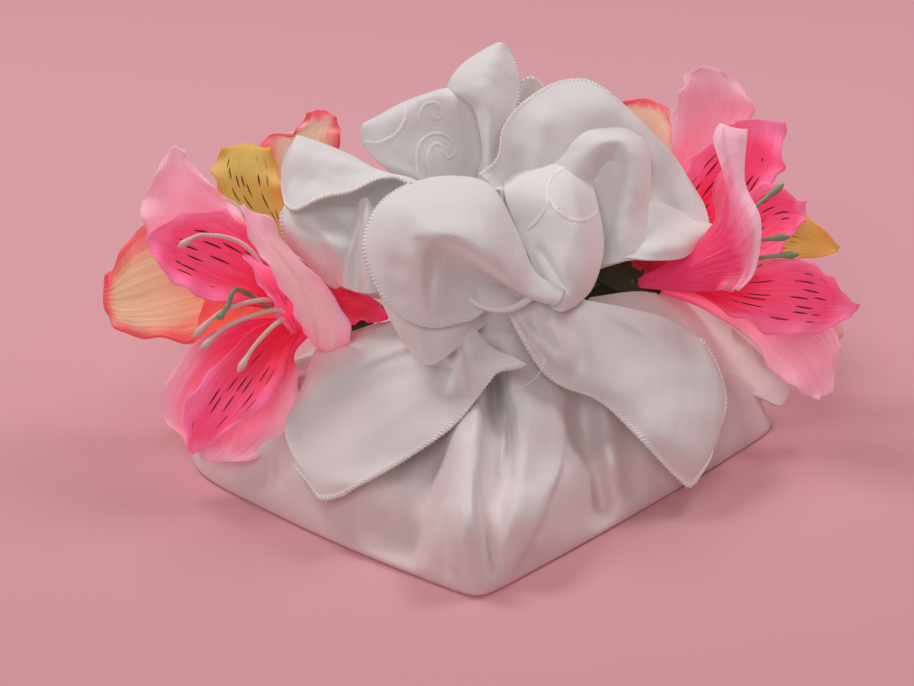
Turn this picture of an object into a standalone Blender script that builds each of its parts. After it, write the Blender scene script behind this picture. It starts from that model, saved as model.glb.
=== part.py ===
"""A furoshiki wrap: a low square parcel in one tied cloth, with silk flowers tucked under the knot.

Everything is in millimetres until place() or metres() turns it into Blender's metres. The origin
is on the surface that the parcel stands on, under the middle of the parcel. +Z is up, and -Y
faces the corner of the parcel that points forwards.

The loose ears of the cloth and the petals are laid out on a leaning plane, as a florist sees them:
x across, up the plane, and out of the plane towards the eye. place() carries such a point along
the line of sight from the eye, so a change of "out" never moves its outline.
"""

import math

import bmesh
import bpy
import numpy as np

METRE = 0.001

# The leaning layout plane.
LEAN_DEG = 28.0
SIGHT = 700.0
LAYOUT_ORIGIN = (-7.7, 15.2, 28.5)

# The wrapped parcel.
SIDES = (  # facing in degrees from +X, distance from the middle
    (-43.0, 68.5),
    (47.0, 74.0),
    (137.0, 70.0),
    (230.0, 76.5),
)
CORNER_SHARPNESS = 13.0
KNOT_SHIFT = (6.0, -2.0)
NECK_RADIUS = 12.0
RINGS = 24
FRONT_ANGLES = (-140.0, -30.0)
FRONT_STEP = 2.3
BACK_STEP = 8.9

PROFILE = (  # way up the cloth, share of the way to the neck, inset, height
    (0.00, 0.00, 2.5, 0.0),
    (0.05, 0.00, 0.4, 1.6),
    (0.12, 0.00, 0.0, 5.5),
    (0.20, 0.00, 1.8, 11.0),
    (0.27, 0.00, 5.5, 16.5),
    (0.34, 0.04, 8.5, 20.5),
    (0.44, 0.16, 9.0, 24.0),
    (0.58, 0.38, 6.0, 28.5),
    (0.72, 0.60, 3.0, 34.0),
    (0.86, 0.81, 1.0, 40.5),
    (1.00, 1.00, 0.0, 47.5),
)
CROWN = ((13.5, 52.0), (12.0, 58.0), (7.0, 62.0))  # radius and height of the knot's closed top
SIDE_SAG = 7.0

CORNER_FOLDS = (  # rim angle, neck angle, rim width, neck width, height, starts at way, full at way
    (10.0, 30.0, 6.0, 3.0, -3.0, 0.30, 0.60),
    (4.0, 8.0, 4.0, 3.0, 3.0, 0.30, 0.60),
    (20.0, 55.0, 5.0, 3.0, 2.5, 0.30, 0.60),
    (84.0, 70.0, 5.0, 3.0, 4.0, 0.16, 0.55),
    (90.0, 88.0, 4.5, 3.5, -5.0, 0.20, 0.55),
    (97.0, 108.0, 5.0, 3.0, 4.0, 0.16, 0.55),
    (108.0, 135.0, 8.0, 4.0, -3.5, 0.30, 0.60),
    (74.0, 48.0, 8.0, 4.0, -3.5, 0.30, 0.60),
    (170.0, 150.0, 6.0, 3.0, 3.0, 0.30, 0.60),
    (178.0, 172.0, 5.0, 3.0, -3.0, 0.30, 0.60),
    (-174.0, -160.0, 5.0, 3.0, 3.0, 0.30, 0.60),
)

# Folds of the drawn-up front, and the tucks at its sides: height, width, then points (x, up)
# of the fold's run on the layout plane.
FRONT_FOLDS = (
    (6.0, 3.2, ((5.5, -12.0), (3.0, -33.5), (1.5, -50.5), (3.5, -74.5))),
    (-7.0, 1.4, ((9.5, -17.0), (7.5, -32.5), (6.8, -45.5), (7.3, -55.5), (11.0, -71.5))),
    (-11.0, 3.0, ((13.5, -8.0), (13.5, -23.5), (12.0, -41.0))),
    (5.0, 2.0, ((16.5, -12.0), (18.8, -29.0), (20.5, -40.5), (17.0, -46.0))),
    (6.0, 7.0, ((21.0, -13.5), (27.5, -32.5), (26.0, -52.5), (16.0, -78.0))),
    (1.5, 1.2, ((34.5, -36.0), (30.5, -52.5), (23.5, -69.0), (15.5, -81.5))),
    (-9.0, 4.4, ((38.0, -12.0), (40.5, -22.0), (41.5, -40.5), (44.5, -62.0))),
    (4.0, 1.9, ((47.5, -14.0), (49.5, -30.5), (48.5, -46.0))),
    (-4.5, 4.0, ((55.0, -20.0), (57.5, -43.5), (53.5, -62.0))),
    (4.5, 1.8, ((-0.5, -22.0), (-3.0, -50.5), (-3.5, -75.5))),
    (-2.0, 1.4, ((0.8, -42.5), (-0.3, -59.0), (1.5, -74.5))),
    (-9.0, 5.5, ((-7.5, -22.0), (-10.5, -48.5), (-13.0, -69.5))),
    (7.0, 5.0, ((90.0, -6.0), (103.0, -11.0), (112.0, -12.5))),
    (-5.5, 2.2, ((84.0, -12.5), (97.5, -19.5), (107.0, -25.5))),
    (-3.0, 6.0, ((-68.0, -38.0), (-58.0, -47.0))),
)
FRONT_OUT = -20.0  # front folds touch only cloth nearer to the eye than this
FOLD_FOOT = (1.0, 9.0)  # heights over which the front folds die out towards the floor
FOLD_END = 0.16  # share of a front fold's run over which each end dies out


# The ears of the knot, each a fan or a strip of cloth. A row is one section across the ear, and
# its points run in the order that the comment gives, each as (x, up, out).
FRONT_EAR = (  # root, hollow, ridge, crown, hem; round the ear from under the knot
    ((15.5, 13.5, 32), (11.5, 11.5, 38), (8.5, 10, 43), (6.5, 8.5, 45), (4.5, 7.5, 47)),
    ((14.5, 14, 31), (7.5, 12.5, 39), (-3.5, 8.5, 49), (-5.5, 7, 51), (-8.5, 5.5, 52)),
    ((13.5, 14.5, 31), (4.5, 14.5, 40), (-7.5, 14.5, 53), (-14.5, 12, 55), (-20.5, 10.5, 54)),
    ((13.5, 15, 31), (2.5, 17.5, 40), (-10, 23.5, 57), (-19.5, 22.5, 57), (-28.5, 22.5, 53)),
    ((13.5, 15.5, 31), (1.5, 21, 39), (-11, 33.5, 60), (-21, 34, 58), (-31, 34.5, 49)),
    ((14, 16.5, 31), (4.5, 22.5, 39), (-4, 32.5, 62), (-14, 42.5, 60), (-25.5, 46.5, 44)),
    ((14.5, 17, 31), (7, 23.5, 41), (2.5, 29.5, 62), (-5.5, 46, 58), (-14, 53.5, 38)),
    ((15.5, 17.5, 32), (10.5, 23.5, 43), (9.5, 25.5, 60), (4.5, 44.5, 58), (-0.5, 55.5, 34)),
    ((16.5, 17.5, 33), (14.5, 22.5, 45), (15.5, 21.5, 57), (13.5, 39.5, 55), (11.5, 52, 37)),
    ((17.5, 17, 34), (18.5, 20, 46), (19.5, 18.5, 53), (20, 29.5, 52), (20, 37, 42)),
    ((18.5, 15.5, 35), (22.5, 16.5, 44), (25, 15.5, 48), (25.5, 19.5, 46), (26, 23.5, 42)),
    ((19.5, 14.5, 35), (27.5, 14, 40), (35, 12.5, 43), (37.5, 14.5, 43), (38.5, 17, 42)),
)
UNDER_EAR = (  # upper edge, middle, lower edge; from left to right
    ((-26.5, 21, 40), (-25.5, 17, 42), (-24.5, 12.5, 42)),
    ((-20.5, 14.5, 44), (-19, 8.5, 48), (-16.5, -0.5, 46)),
    ((-15.5, 14.5, 43), (-11.5, 4.5, 49), (-9.5, -7, 47)),
    ((-10.5, 12.5, 38), (-8.5, 2.5, 43), (-5.5, -5, 43)),
    ((-0.5, 12.5, 36), (1.5, 7, 42), (4.5, 2, 42)),
    ((11, 14.5, 33), (12.5, 10.5, 36), (13.5, 7, 36)),
)
LEFT_EAR_ROOF = (  # back, crest, front, hem; from the knot to the tip
    ((9, 27, 24), (8, 29, 26), (6, 30, 28), (4, 30, 30)),
    ((-9, 51, 16), (-10.5, 51.5, 22), (-12.5, 51, 28), (-15.5, 52, 32)),
    ((-22.5, 55.5, 18), (-23, 56.5, 24), (-23.5, 55.5, 29), (-24.5, 55, 33)),
    ((-35.5, 62.5, 20), (-36.5, 59.5, 28), (-36.5, 55, 31), (-35.5, 50.5, 35)),
    ((-45, 66.5, 20), (-46.5, 61.5, 28), (-46.5, 54.5, 30), (-45, 48.5, 36)),
    ((-52.5, 69, 20), (-55, 62.5, 27), (-55, 52.5, 31), (-53.5, 44.5, 36)),
    ((-53.5, 68.5, 18), (-57.5, 61.5, 22), (-58.5, 52.5, 26), (-57.5, 46, 33)),
)
LEFT_EAR_LIP = (  # inside wall, lip, bulge, underside, foot; from the tip to the knot
    ((-55.5, 48.5, 28), (-58.5, 43.5, 30), (-58.5, 38.5, 30), (-56.5, 33.5, 28), (-52.5, 29.5, 24)),
    ((-49, 46, 22), (-49.5, 40.5, 30), (-49.5, 35, 32), (-48.5, 29.5, 28), (-46.5, 22.5, 22)),
    ((-40.5, 45, 18), (-40.5, 39.5, 26), (-39.5, 32.5, 31), (-40.5, 26, 26), (-41.5, 18.5, 20)),
    ((-32.5, 44.5, 16), (-32.5, 36, 24), (-32.5, 30.5, 30), (-33, 23.5, 26), (-34, 17, 20)),
    ((-24, 41, 16), (-24, 32.5, 24), (-24, 26, 28), (-24.5, 21, 25), (-25.5, 15, 20)),
    ((-10.5, 36, 20), (-9, 31, 24), (-8.5, 27, 26), (-9, 22.5, 25), (-10.5, 17.5, 22)),
    ((6, 20, 24), (7, 19, 26), (7, 18, 27), (6, 17, 26), (5, 16, 24)),
)
SCROLL_EAR = (  # left edge, left, right, right edge; from the knot upwards
    ((7.5, 19.5, 22), (10.5, 19.5, 24), (12.5, 20, 24), (14.5, 21, 22)),
    ((-10.5, 42.5, 14), (-5.5, 42.5, 17), (-0.5, 43.5, 15), (4.5, 46, 12)),
    ((-19, 54.5, 15), (-10.5, 53.5, 20), (-1.5, 54.5, 17), (7, 54.5, 9)),
    ((-27.5, 61.5, 18), (-17.5, 61, 22), (-4, 62.5, 20), (9, 61.5, 6)),
    ((-32, 68.5, 19), (-20.5, 68.5, 22), (-7.5, 71, 20), (7, 70.5, 7)),
    ((-31.5, 72.5, 19), (-20.5, 77, 20), (-9, 81.5, 19), (0.5, 81, 13)),
    ((-30.5, 73, 15), (-19, 79.5, 13), (-8.5, 83.5, 12), (-3, 85, 9)),
)
TOP_EAR = (  # left edge, middle, right edge; from the knot upwards
    ((11.5, 19.5, 22), (14.5, 19.5, 24), (16.5, 19.5, 22)),
    ((7, 51, 12), (10.5, 51, 16), (13.5, 51, 14)),
    ((8.5, 64.5, 12), (11, 64.5, 17), (14.5, 64.5, 13)),
    ((5.5, 78.5, 13), (11.5, 77, 19), (18.5, 76, 13)),
    ((-3, 84.5, 10), (9.5, 85, 18), (21, 83.5, 10)),
    ((1.5, 92.5, 8), (11, 92.5, 14), (20, 91.5, 8)),
    ((10.5, 98.5, 6), (14.5, 100, 8), (17.5, 97.5, 6)),
)
BACK_EAR = (  # left edge, middle, right edge; from the knot upwards
    ((16, 21, 18), (18.5, 21, 20), (20.5, 21, 18)),
    ((16, 57.5, -8), (21, 59.5, -6), (26, 61, -10)),
    ((14.5, 74.5, -7), (22.5, 76, -5), (31, 76, -9)),
    ((19.5, 86, -6), (25, 88.5, -4), (29.5, 84.5, -8)),
)
RIGHT_EAR = (  # hem, upper, middle, foot, root; round the ear from the top left
    ((14, 61, 9), (15, 57.5, 13), (16, 53.5, 15), (17, 49, 16), (16.5, 20.5, 22)),
    ((15.5, 71, 10), (18.5, 66, 16), (21, 59.5, 18), (23.5, 51, 18), (17, 20.5, 22)),
    ((21, 79, 10), (24.5, 71, 17), (27.5, 61, 19), (30.5, 49.5, 18), (18, 20, 22)),
    ((31, 84.5, 10), (33.5, 74.5, 17), (36, 62.5, 19), (37.5, 47.5, 16), (19, 20, 22)),
    ((41.5, 87.5, 10), (43.5, 77, 17), (45, 64.5, 18), (45.5, 44.5, 12), (20, 19.5, 22)),
    ((50, 84.5, 9), (52.5, 76, 15), (53.5, 62.5, 14), (53, 38, 11), (21, 19, 22)),
    ((58.5, 77.5, 8), (60.5, 69.5, 11), (61, 56, 9), (59.5, 34.5, 10), (22, 18.5, 22)),
    ((66.5, 68, 7), (67.5, 61, 7), (68.5, 47.5, 6), (66, 34, 8), (23, 18, 22)),
    ((75, 55, 7), (75.5, 49.5, 7), (76, 43, 9), (75, 35, 9), (23.5, 17.5, 22)),
    ((81.5, 43.5, 9), (83, 41, 10), (83.5, 38.5, 11), (82, 36, 11), (24, 17, 22)),
)
RIGHT_EAR_HOOK = (  # outer base, shoulder, crest, inner base; over the hook and down
    ((26, 61, 14), (28.5, 57.5, 22), (31, 53.5, 26), (35, 49, 22)),
    ((36, 68.5, 14), (37.5, 66, 22), (41, 61.5, 28), (44.5, 56, 20)),
    ((47.5, 71.5, 11), (48.5, 69, 22), (49.5, 65, 28), (50, 58.5, 18)),
    ((58.5, 71, 8), (58.5, 68.5, 20), (56, 63.5, 27), (52.5, 57.5, 16)),
    ((65, 61, 7), (63.5, 59.5, 18), (59.5, 58.5, 27), (54.5, 54.5, 16)),
    ((65.5, 49.5, 10), (63, 49.5, 20), (58.5, 49.5, 28), (51.5, 47.5, 18)),
    ((64.5, 39.5, 14), (61, 38.5, 22), (56, 38.5, 28), (49.5, 38.5, 20)),
    ((65, 31, 18), (61.5, 29.5, 24), (56, 28.5, 28), (48.5, 27, 22)),
    ((46, 25, 18), (44, 24, 20), (42, 23.5, 22), (40, 23.5, 20)),
)
RIGHT_EAR_CORNER = (  # left, left middle, right middle, tip; from the crease downwards
    ((61, 48.5, 14), (69.5, 46, 14), (77.5, 42, 13), (84.5, 38, 12)),
    ((61, 39.5, 18), (69.5, 38.5, 20), (77.5, 37, 18), (84, 37.5, 13)),
    ((61.5, 31, 22), (69.5, 31, 25), (76, 32.5, 21), (82, 34.5, 15)),
    ((63.5, 27, 22), (69.5, 26.5, 23), (74.5, 28, 19), (80, 32.5, 14)),
)
RIGHT_LOBE = (  # left edge, left, right, right edge; from the top downwards
    ((14.5, 55, 18), (24.5, 58, 21), (35, 61.5, 17.5), (44.5, 57, 15)),
    ((16.5, 47.5, 24), (26, 49.5, 32), (37.5, 51, 34), (47, 47.5, 22)),
    ((20.5, 37.5, 24), (29.5, 38.5, 36), (40.5, 39.5, 40), (49, 37, 26)),
    ((25, 27, 28), (33, 28.5, 40), (42.5, 28.5, 42), (48.5, 27, 28)),
    ((31.5, 18.5, 36), (37, 17.5, 44), (42.5, 18.5, 42), (45.5, 19.5, 32)),
    ((33, 12.5, 40), (37, 11.5, 42), (40.5, 13.5, 38), (42.5, 15.5, 34)),
)

# The two ends of the cloth that hang over the front of the parcel.
LEFT_TAIL = (  # back edge, ridge, upper, middle, lower, hem; from the knot to the tip
    ((-0.5, 11, 30), (1.5, 8.5, 34), (6, 7, 39), (10.5, 5.5, 41), (14.5, 7, 40), (17, 8.5, 37)),
    ((-15.5, 8.5, 24), (-12.5, 2.5, 32), (-5.5, -0.5, 36), (1.5, -2.5, 40), (9.5, -3, 42), (21, -6.5, 44)),
    ((-31, 5, 19), (-28.5, 0, 29), (-22.5, -7.5, 36), (-10.5, -9.5, 40), (1, -12.5, 43), (9.5, -14, 50)),
    (
        (-46, -1.5, 21), (-42.5, -9.5, 32), (-35.5, -17.5, 39),
        (-24, -20.5, 44), (-10.5, -23, 47), (-0.5, -26.5, 52),
    ),
    (
        (-50.5, -13, 28), (-52, -19.5, 37), (-47.5, -27.5, 43),
        (-37.5, -32.5, 50), (-25.5, -35.5, 55), (-14, -36.5, 55),
    ),
    (
        (-55.5, -26, 41), (-57, -29, 46), (-53, -37.5, 53),
        (-46.5, -42.5, 58), (-37.5, -45, 63), (-28.5, -45, 65),
    ),
    (
        (-53.5, -39.5, 53), (-52.5, -43, 55), (-49.5, -46.5, 58),
        (-46, -51.5, 61), (-41.5, -51.5, 63), (-37.5, -50, 65),
    ),
)
RIGHT_TAIL = (  # hem, inner, middle, ridge, back edge; from the knot to the tip
    ((17, 10.5, 40), (20.5, 11.5, 42), (26, 13.5, 40), (34.5, 14.5, 34), (41, 14.5, 30)),
    ((23.5, -1.5, 43), (29.5, 1, 42), (39.5, 4.5, 38), (51, 8.5, 30), (61, 10.5, 24)),
    ((32.5, -12.5, 38), (41, -9, 40), (52.5, -5, 38), (66, -0.5, 30), (72.5, 7, 22)),
    ((47.5, -19, 38), (56, -17.5, 42), (66, -14, 40), (81, -9, 30), (81, 1.5, 20)),
    ((61, -31.5, 46), (68.5, -29, 46), (77.5, -24, 40), (87.5, -16.5, 30), (86, -6.5, 22)),
    ((71.5, -42.5, 44), (77, -38.5, 44), (82.5, -34, 40), (87.5, -27.5, 33), (89.5, -19, 28)),
    ((77.5, -48, 42), (79, -46.5, 42), (81, -43.5, 40), (83.5, -39.5, 37), (85, -35.5, 35)),
)

CLOTH_THICKNESS = 1.6
EARS = (  # name, sections, points along and across
    ("front_ear", FRONT_EAR, 23, 12),
    ("under_ear", UNDER_EAR, 12, 6),
    ("left_ear_roof", LEFT_EAR_ROOF, 14, 8),
    ("left_ear_lip", LEFT_EAR_LIP, 13, 9),
    ("scroll_ear", SCROLL_EAR, 12, 8),
    ("top_ear", TOP_EAR, 12, 6),
    ("back_ear", BACK_EAR, 7, 5),
    ("right_ear", RIGHT_EAR, 14, 10),
    ("right_ear_hook", RIGHT_EAR_HOOK, 15, 7),
    ("right_ear_corner", RIGHT_EAR_CORNER, 7, 7),
    ("right_lobe", RIGHT_LOBE, 10, 9),
    ("left_tail", LEFT_TAIL, 13, 10),
    ("right_tail", RIGHT_TAIL, 13, 9),
)

# The silk flowers. A petal is a row: the points (x, up, out) of its midrib from the hub to the
# tip, its half width, how far its face is turned about the midrib in degrees, and its cup.
LEFT_FRONT_OUTER = (
    (((-47.5, 8, 14), (-72, 28, 20), (-90, 47, 24), (-95, 65, 20)), 16.0, 0.0, 3.0),
    (((-45, 6, 15), (-42, 9.5, 33), (-54.5, 28, 46), (-70, 47.5, 45)), 11.0, -35.0, -2.5),
    (((-48, 6, 14.5), (-64, -3, 30), (-77.5, -23, 38), (-85.5, -40, 35)), 16.5, -10.0, 3.0),
)
LEFT_FRONT_INNER = (
    (((-51, 9.5, 20), (-76, 26, 32), (-92, 33.5, 36), (-104, 35, 34)), 13.5, 8.0, 3.0),
    (((-50, 9.5, 20.8), (-54, 16, 34.5), (-62, 25, 42), (-68, 32, 43)), 6.0, 20.0, 1.5),
    (((-51.5, 7.5, 20), (-69, -8.5, 38), (-80, -22.5, 45), (-88, -37, 42)), 13.5, -8.0, 3.0),
)
LEFT_FRONT_STAMENS = (
    ((-56.2, 8.3, 25.8), (-72.5, 26, 39), (-82, 35, 44), (-93, 32, 46)),
    ((-56.7, 7.8, 25.8), (-72.5, 13.5, 44), (-85.5, 6, 48), (-87.5, 2.5, 48)),
    ((-56.2, 7.3, 25.8), (-65, 4.5, 43), (-69.5, -2.5, 49), (-73, -10.5, 51)),
    ((-56.2, 7.3, 25.8), (-69, 9.5, 42), (-80.5, 2.5, 46), (-87.5, -4, 49)),
    ((-56.2, 8.3, 25.8), (-69, 19.5, 42), (-74, 16.5, 47), (-77.5, 10.5, 48)),
)
LEFT_FRONT_STEM = ((-36, 10, 9), (-22, 11.5, 12), (1.2, 13.5, 17.1))
LEFT_BACK_OUTER = (
    (((-57.5, 27.5, -3), (-75, 22, 2), (-98, 17, 7), (-117, 8, 6)), 18.0, 0.0, 3.0),
    (((-56, 28.5, -2.5), (-52, 48, -2), (-49, 63, -2), (-44, 76, -3)), 14.5, 0.0, 3.0),
    (((-56.5, 27.5, -4), (-58, 41, -14), (-61, 53, -20), (-63, 62, -22)), 14.0, 10.0, 2.0),
)
LEFT_BACK_INNER = (
    (((-58, 28.5, 4), (-62.5, 42, 6), (-68, 55, 8), (-74, 65.5, 6)), 12.5, 0.0, 2.5),
    (((-58.5, 27.5, 4), (-75, 30, 8), (-86, 31, 11), (-96, 31, 11)), 11.0, 0.0, 2.0),
    (((-58, 26.5, 4), (-68, 14, 8), (-78, 6, 11), (-87, 0, 10)), 11.0, 0.0, 2.5),
)
LEFT_BACK_STAMENS = (
    ((-60, 28.5, 9), (-66, 38, 13), (-74, 46, 15), (-82, 50, 14.5)),
    ((-60.5, 27.5, 9), (-68, 31, 13.5), (-77, 36, 15.5), (-86, 37, 16)),
    ((-60, 26.5, 9), (-68, 22, 13.5), (-78, 20, 15.5), (-87, 17, 16)),
)
LEFT_BACK_STEM = ((-43.5, 19.5, -6), (-27, 18.5, 2), (4.1, 18.8, 16.5))
RIGHT_FRONT_OUTER = (
    (((60, 21.5, 1.2), (71, 43, -8), (80, 68, -1), (85.5, 92.5, 2)), 14.5, 0.0, 3.0),
    (((60.4, 19.3, 4.6), (74, 12.5, 17), (100, 41, 37), (92, 73, 35)), 11.5, 8.0, -2.5),
    (((61, 19.5, 0.5), (82, 12, -4), (106, 5, 9), (123, -15, 11)), 12.0, 0.0, 2.5),
)
RIGHT_FRONT_INNER = (
    (((69.5, 23, 2.5), (79, 41, 0), (91, 57, 8), (106, 75, 12)), 14.0, 0.0, 2.5),
    (((70, 22, 3), (88, 31, 5), (103, 42, 14), (116, 53, 16)), 12.5, 10.0, 2.5),
    (((70, 21, 3), (87, 18, 17), (110, 18.5, 27), (133.5, 11.5, 23)), 13.5, 8.0, 3.0),
)
RIGHT_FRONT_STAMENS = (
    ((74, 22.5, 7.8), (85, 26.5, 20.5), (98, 33.5, 26.5), (111, 35.5, 28)),
    ((74, 22, 7.8), (87, 24.5, 21.5), (102, 28.5, 30.5), (114, 29.5, 33)),
    ((73.5, 22.5, 7.8), (86, 31, 20), (98, 44, 24.5), (109, 53, 26)),
)
RIGHT_FRONT_STEM = ((50, 20.5, 3), (42, 19, 7), (24.6, 15.5, 17.2))
RIGHT_BACK_OUTER = (
    (((71.5, 39, -22), (70, 56, -21), (67, 69, -17), (62.5, 80.5, -15)), 12.5, 0.0, 2.5),
    (((72, 37, -22), (92, 24, -15), (114, 10, -7), (128, 1.5, -6)), 13.0, 0.0, 2.5),
    (((71.5, 38.5, -23), (79, 51, -32), (85, 61, -37), (89, 68, -39)), 13.0, 10.0, 2.0),
)
RIGHT_BACK_INNER = (
    (((74, 40, -17), (80, 54, -18), (87, 64, -15), (94, 71, -12)), 11.0, 0.0, 2.0),
    (((74.5, 39, -16.5), (91, 38, -12), (110, 36, -5), (127, 31, -2)), 10.5, 0.0, 2.0),
    (((74, 38, -17), (88, 26, -12), (98, 15, -7), (108, 6, -4)), 10.5, 0.0, 2.0),
)
RIGHT_BACK_STAMENS = (
    ((76.5, 39, -12.5), (88, 41, -12), (99, 47, -7), (107, 53, -3)),
    ((76.5, 38.5, -12.5), (88, 38.5, -9.5), (98, 42, -4), (106, 42, 0)),
    ((76, 38, -12.5), (86, 33, -9), (94, 29, -4), (103, 25, -1)),
)
RIGHT_BACK_STEM = ((60, 33, -24), (48, 27, -12), (20.6, 20.5, 15.1))
FLOWERS = (
    ("left_front", LEFT_FRONT_OUTER, LEFT_FRONT_INNER, LEFT_FRONT_STAMENS, LEFT_FRONT_STEM),
    ("left_back", LEFT_BACK_OUTER, LEFT_BACK_INNER, LEFT_BACK_STAMENS, LEFT_BACK_STEM),
    ("right_front", RIGHT_FRONT_OUTER, RIGHT_FRONT_INNER, RIGHT_FRONT_STAMENS, RIGHT_FRONT_STEM),
    ("right_back", RIGHT_BACK_OUTER, RIGHT_BACK_INNER, RIGHT_BACK_STAMENS, RIGHT_BACK_STEM),
)
OUTER_OUTLINE = (0.16, 0.42, 0.72, 0.92, 1.0, 0.98, 0.84, 0.52, 0.08)  # half width, hub to tip
INNER_OUTLINE = (0.20, 0.48, 0.78, 0.96, 1.0, 0.90, 0.70, 0.40, 0.06)
PETAL_THICKNESS = 1.0
PETAL_ALONG = 7
PETAL_ACROSS = 5
HUB_RADIUS = 2.6
STAMEN_RADIUS = 0.85
ANTHER_RADIUS = 1.5
PIN_RADIUS = 0.9
SEAT_GAP = 0.4  # clearance between a pin or a calyx and the hub that it sits on
STEM_RADIUS = 1.8
CALYX_RADIUS = 3.0
CALYX_SHARE = 0.35  # share of the stem's length over which it swells to the calyx


def metres(points):
    return np.asarray(points, float) * METRE


def place(points):
    """World millimetres of layout points (x, up, out)."""
    points = np.asarray(points, float)
    x, up, out = points[..., 0], points[..., 1], points[..., 2]
    near = (SIGHT - out) / SIGHT
    lean = math.radians(LEAN_DEG)
    sine, cosine = math.sin(lean), math.cos(lean)
    return np.stack(
        [
            LAYOUT_ORIGIN[0] + near * x,
            LAYOUT_ORIGIN[1] + near * up * sine - out * cosine,
            LAYOUT_ORIGIN[2] + near * up * cosine + out * sine,
        ],
        axis=-1,
    )


def through(rows, count):
    """count rows on one smooth curve through the given rows, evenly by row number."""
    rows = np.asarray(rows, float)
    last = len(rows) - 1
    where = np.linspace(0, last, count)
    first = np.minimum(where.astype(int), last - 1)
    t = (where - first).reshape((-1,) + (1,) * (rows.ndim - 1))
    slope = np.gradient(rows, axis=0)
    a, b = rows[first], rows[first + 1]
    da, db = slope[first], slope[first + 1]
    return (
        a * (1 + 2 * t) * (1 - t) ** 2
        + da * t * (1 - t) ** 2
        + b * t * t * (3 - 2 * t)
        - db * t * t * (1 - t)
    )


def smoothstep(low, high, value):
    t = np.clip((value - low) / (high - low), 0, 1)
    return t * t * (3 - 2 * t)


def footprint(angle):
    """Distance from the middle to the parcel's side at an angle in degrees."""
    total = 0.0
    for facing, distance in SIDES:
        near = np.maximum(np.cos(np.radians(angle - facing)), 0) / distance
        total = total + near**CORNER_SHARPNESS
    return total ** (-1 / CORNER_SHARPNESS)


def layout(points):
    """Layout points (x, up, out) of world millimetres; the other way round from place()."""
    lean = math.radians(LEAN_DEG)
    away = np.asarray(points, float) - np.array(LAYOUT_ORIGIN)
    out = away[..., 2] * math.sin(lean) - away[..., 1] * math.cos(lean)
    up = away[..., 1] * math.sin(lean) + away[..., 2] * math.cos(lean)
    near = (SIGHT - out) / SIGHT
    return np.stack([away[..., 0] / near, up / near, out], axis=-1)


def around_angles():
    """Angles round the parcel, closer together at the gathered front."""
    low, high = FRONT_ANGLES
    front = np.arange(low, high, FRONT_STEP)
    return np.concatenate([front, np.arange(front[-1] + BACK_STEP, low + 360 - FRONT_STEP, BACK_STEP)])


def bell(distance, width):
    return np.exp(-((distance / width) ** 2))


def corner_lift(angle, way, share, radius):
    lift = np.zeros(radius.shape)
    for rim, neck, rim_width, neck_width, high, starts, full in CORNER_FOLDS:
        middle = rim + (neck - rim) * share
        apart = (angle - middle + 180) % 360 - 180
        width = rim_width + (neck_width - rim_width) * share
        lift += high * smoothstep(starts, full, way) * bell(np.radians(apart) * radius, width)
    return lift


def front_lift(points):
    """How far the front folds raise the cloth at points, from their runs on the layout plane."""
    seen = layout(points)
    flat = seen[..., None, :2]
    lift = np.zeros(seen.shape[:-1])
    for high, width, run in FRONT_FOLDS:
        line = through(run, 4 * len(run))
        start, step = line[:-1], np.diff(line, axis=0)
        t = np.clip(((flat - start) * step).sum(-1) / (step**2).sum(-1), 0, 1)
        gap = np.linalg.norm(flat - start - t[..., None] * step, axis=-1)
        nearest = gap.argmin(axis=-1)
        along = (nearest + np.take_along_axis(t, nearest[..., None], -1)[..., 0]) / len(step)
        fade = smoothstep(0, FOLD_END, along) * smoothstep(0, FOLD_END, 1 - along)
        lift += high * fade * bell(gap.min(axis=-1), width)
    return lift * (seen[..., 2] > FRONT_OUT)


def parcel_rings(count, angle):
    """Points (rings, around, 3) of the cloth drawn over the parcel, from the floor to the neck."""
    way, share, inset, height = (column[:, None] for column in through(PROFILE, count).T)
    side = footprint(angle)[None, :]
    radius = (side - inset) * (1 - share) + NECK_RADIUS * share
    slack = (side.max() - side) / (side.max() - side.min())
    turn = np.radians(angle)[None, :]
    points = np.stack(
        [
            KNOT_SHIFT[0] * share + radius * np.cos(turn),
            KNOT_SHIFT[1] * share + radius * np.sin(turn),
            height - SIDE_SAG * slack * np.sin(np.pi * np.clip(share, 0, 1)),
        ],
        axis=-1,
    )
    along = np.gradient(points, axis=0)
    across = np.roll(points, -1, axis=1) - np.roll(points, 1, axis=1)
    normal = np.cross(across, along)
    normal /= np.linalg.norm(normal, axis=-1, keepdims=True)
    lift = corner_lift(angle[None, :], way, share, radius)
    lift += front_lift(points) * smoothstep(FOLD_FOOT[0], FOLD_FOOT[1], height)
    return points + normal * lift[..., None]


def mesh_object(name, verts, faces, material=None):
    mesh = bpy.data.meshes.new(name)
    mesh.from_pydata([tuple(v) for v in verts], [], faces)
    mesh.validate()
    obj = bpy.data.objects.new(name, mesh)
    bpy.context.scene.collection.objects.link(obj)
    if material is not None:
        mesh.materials.append(material)
    mesh.shade_smooth()
    return obj


def closed_rings(name, rings, top):
    """A solid of stacked rings, with a flat cap under the first and a point at the top."""
    count, around = rings.shape[:2]
    verts = np.concatenate([rings.reshape(-1, 3), [top]])
    faces = []
    for i in range(count - 1):
        for j in range(around):
            k = (j + 1) % around
            faces.append((i * around + j, i * around + k, (i + 1) * around + k, (i + 1) * around + j))
    for j in range(around):
        faces.append(((count - 1) * around + j, (count - 1) * around + (j + 1) % around, len(verts) - 1))
    faces.append(tuple(range(around - 1, -1, -1)))
    return mesh_object(name, metres(verts), faces)


def hidden(obj):
    obj.hide_render = True
    obj.display_type = "WIRE"
    return obj


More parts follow.
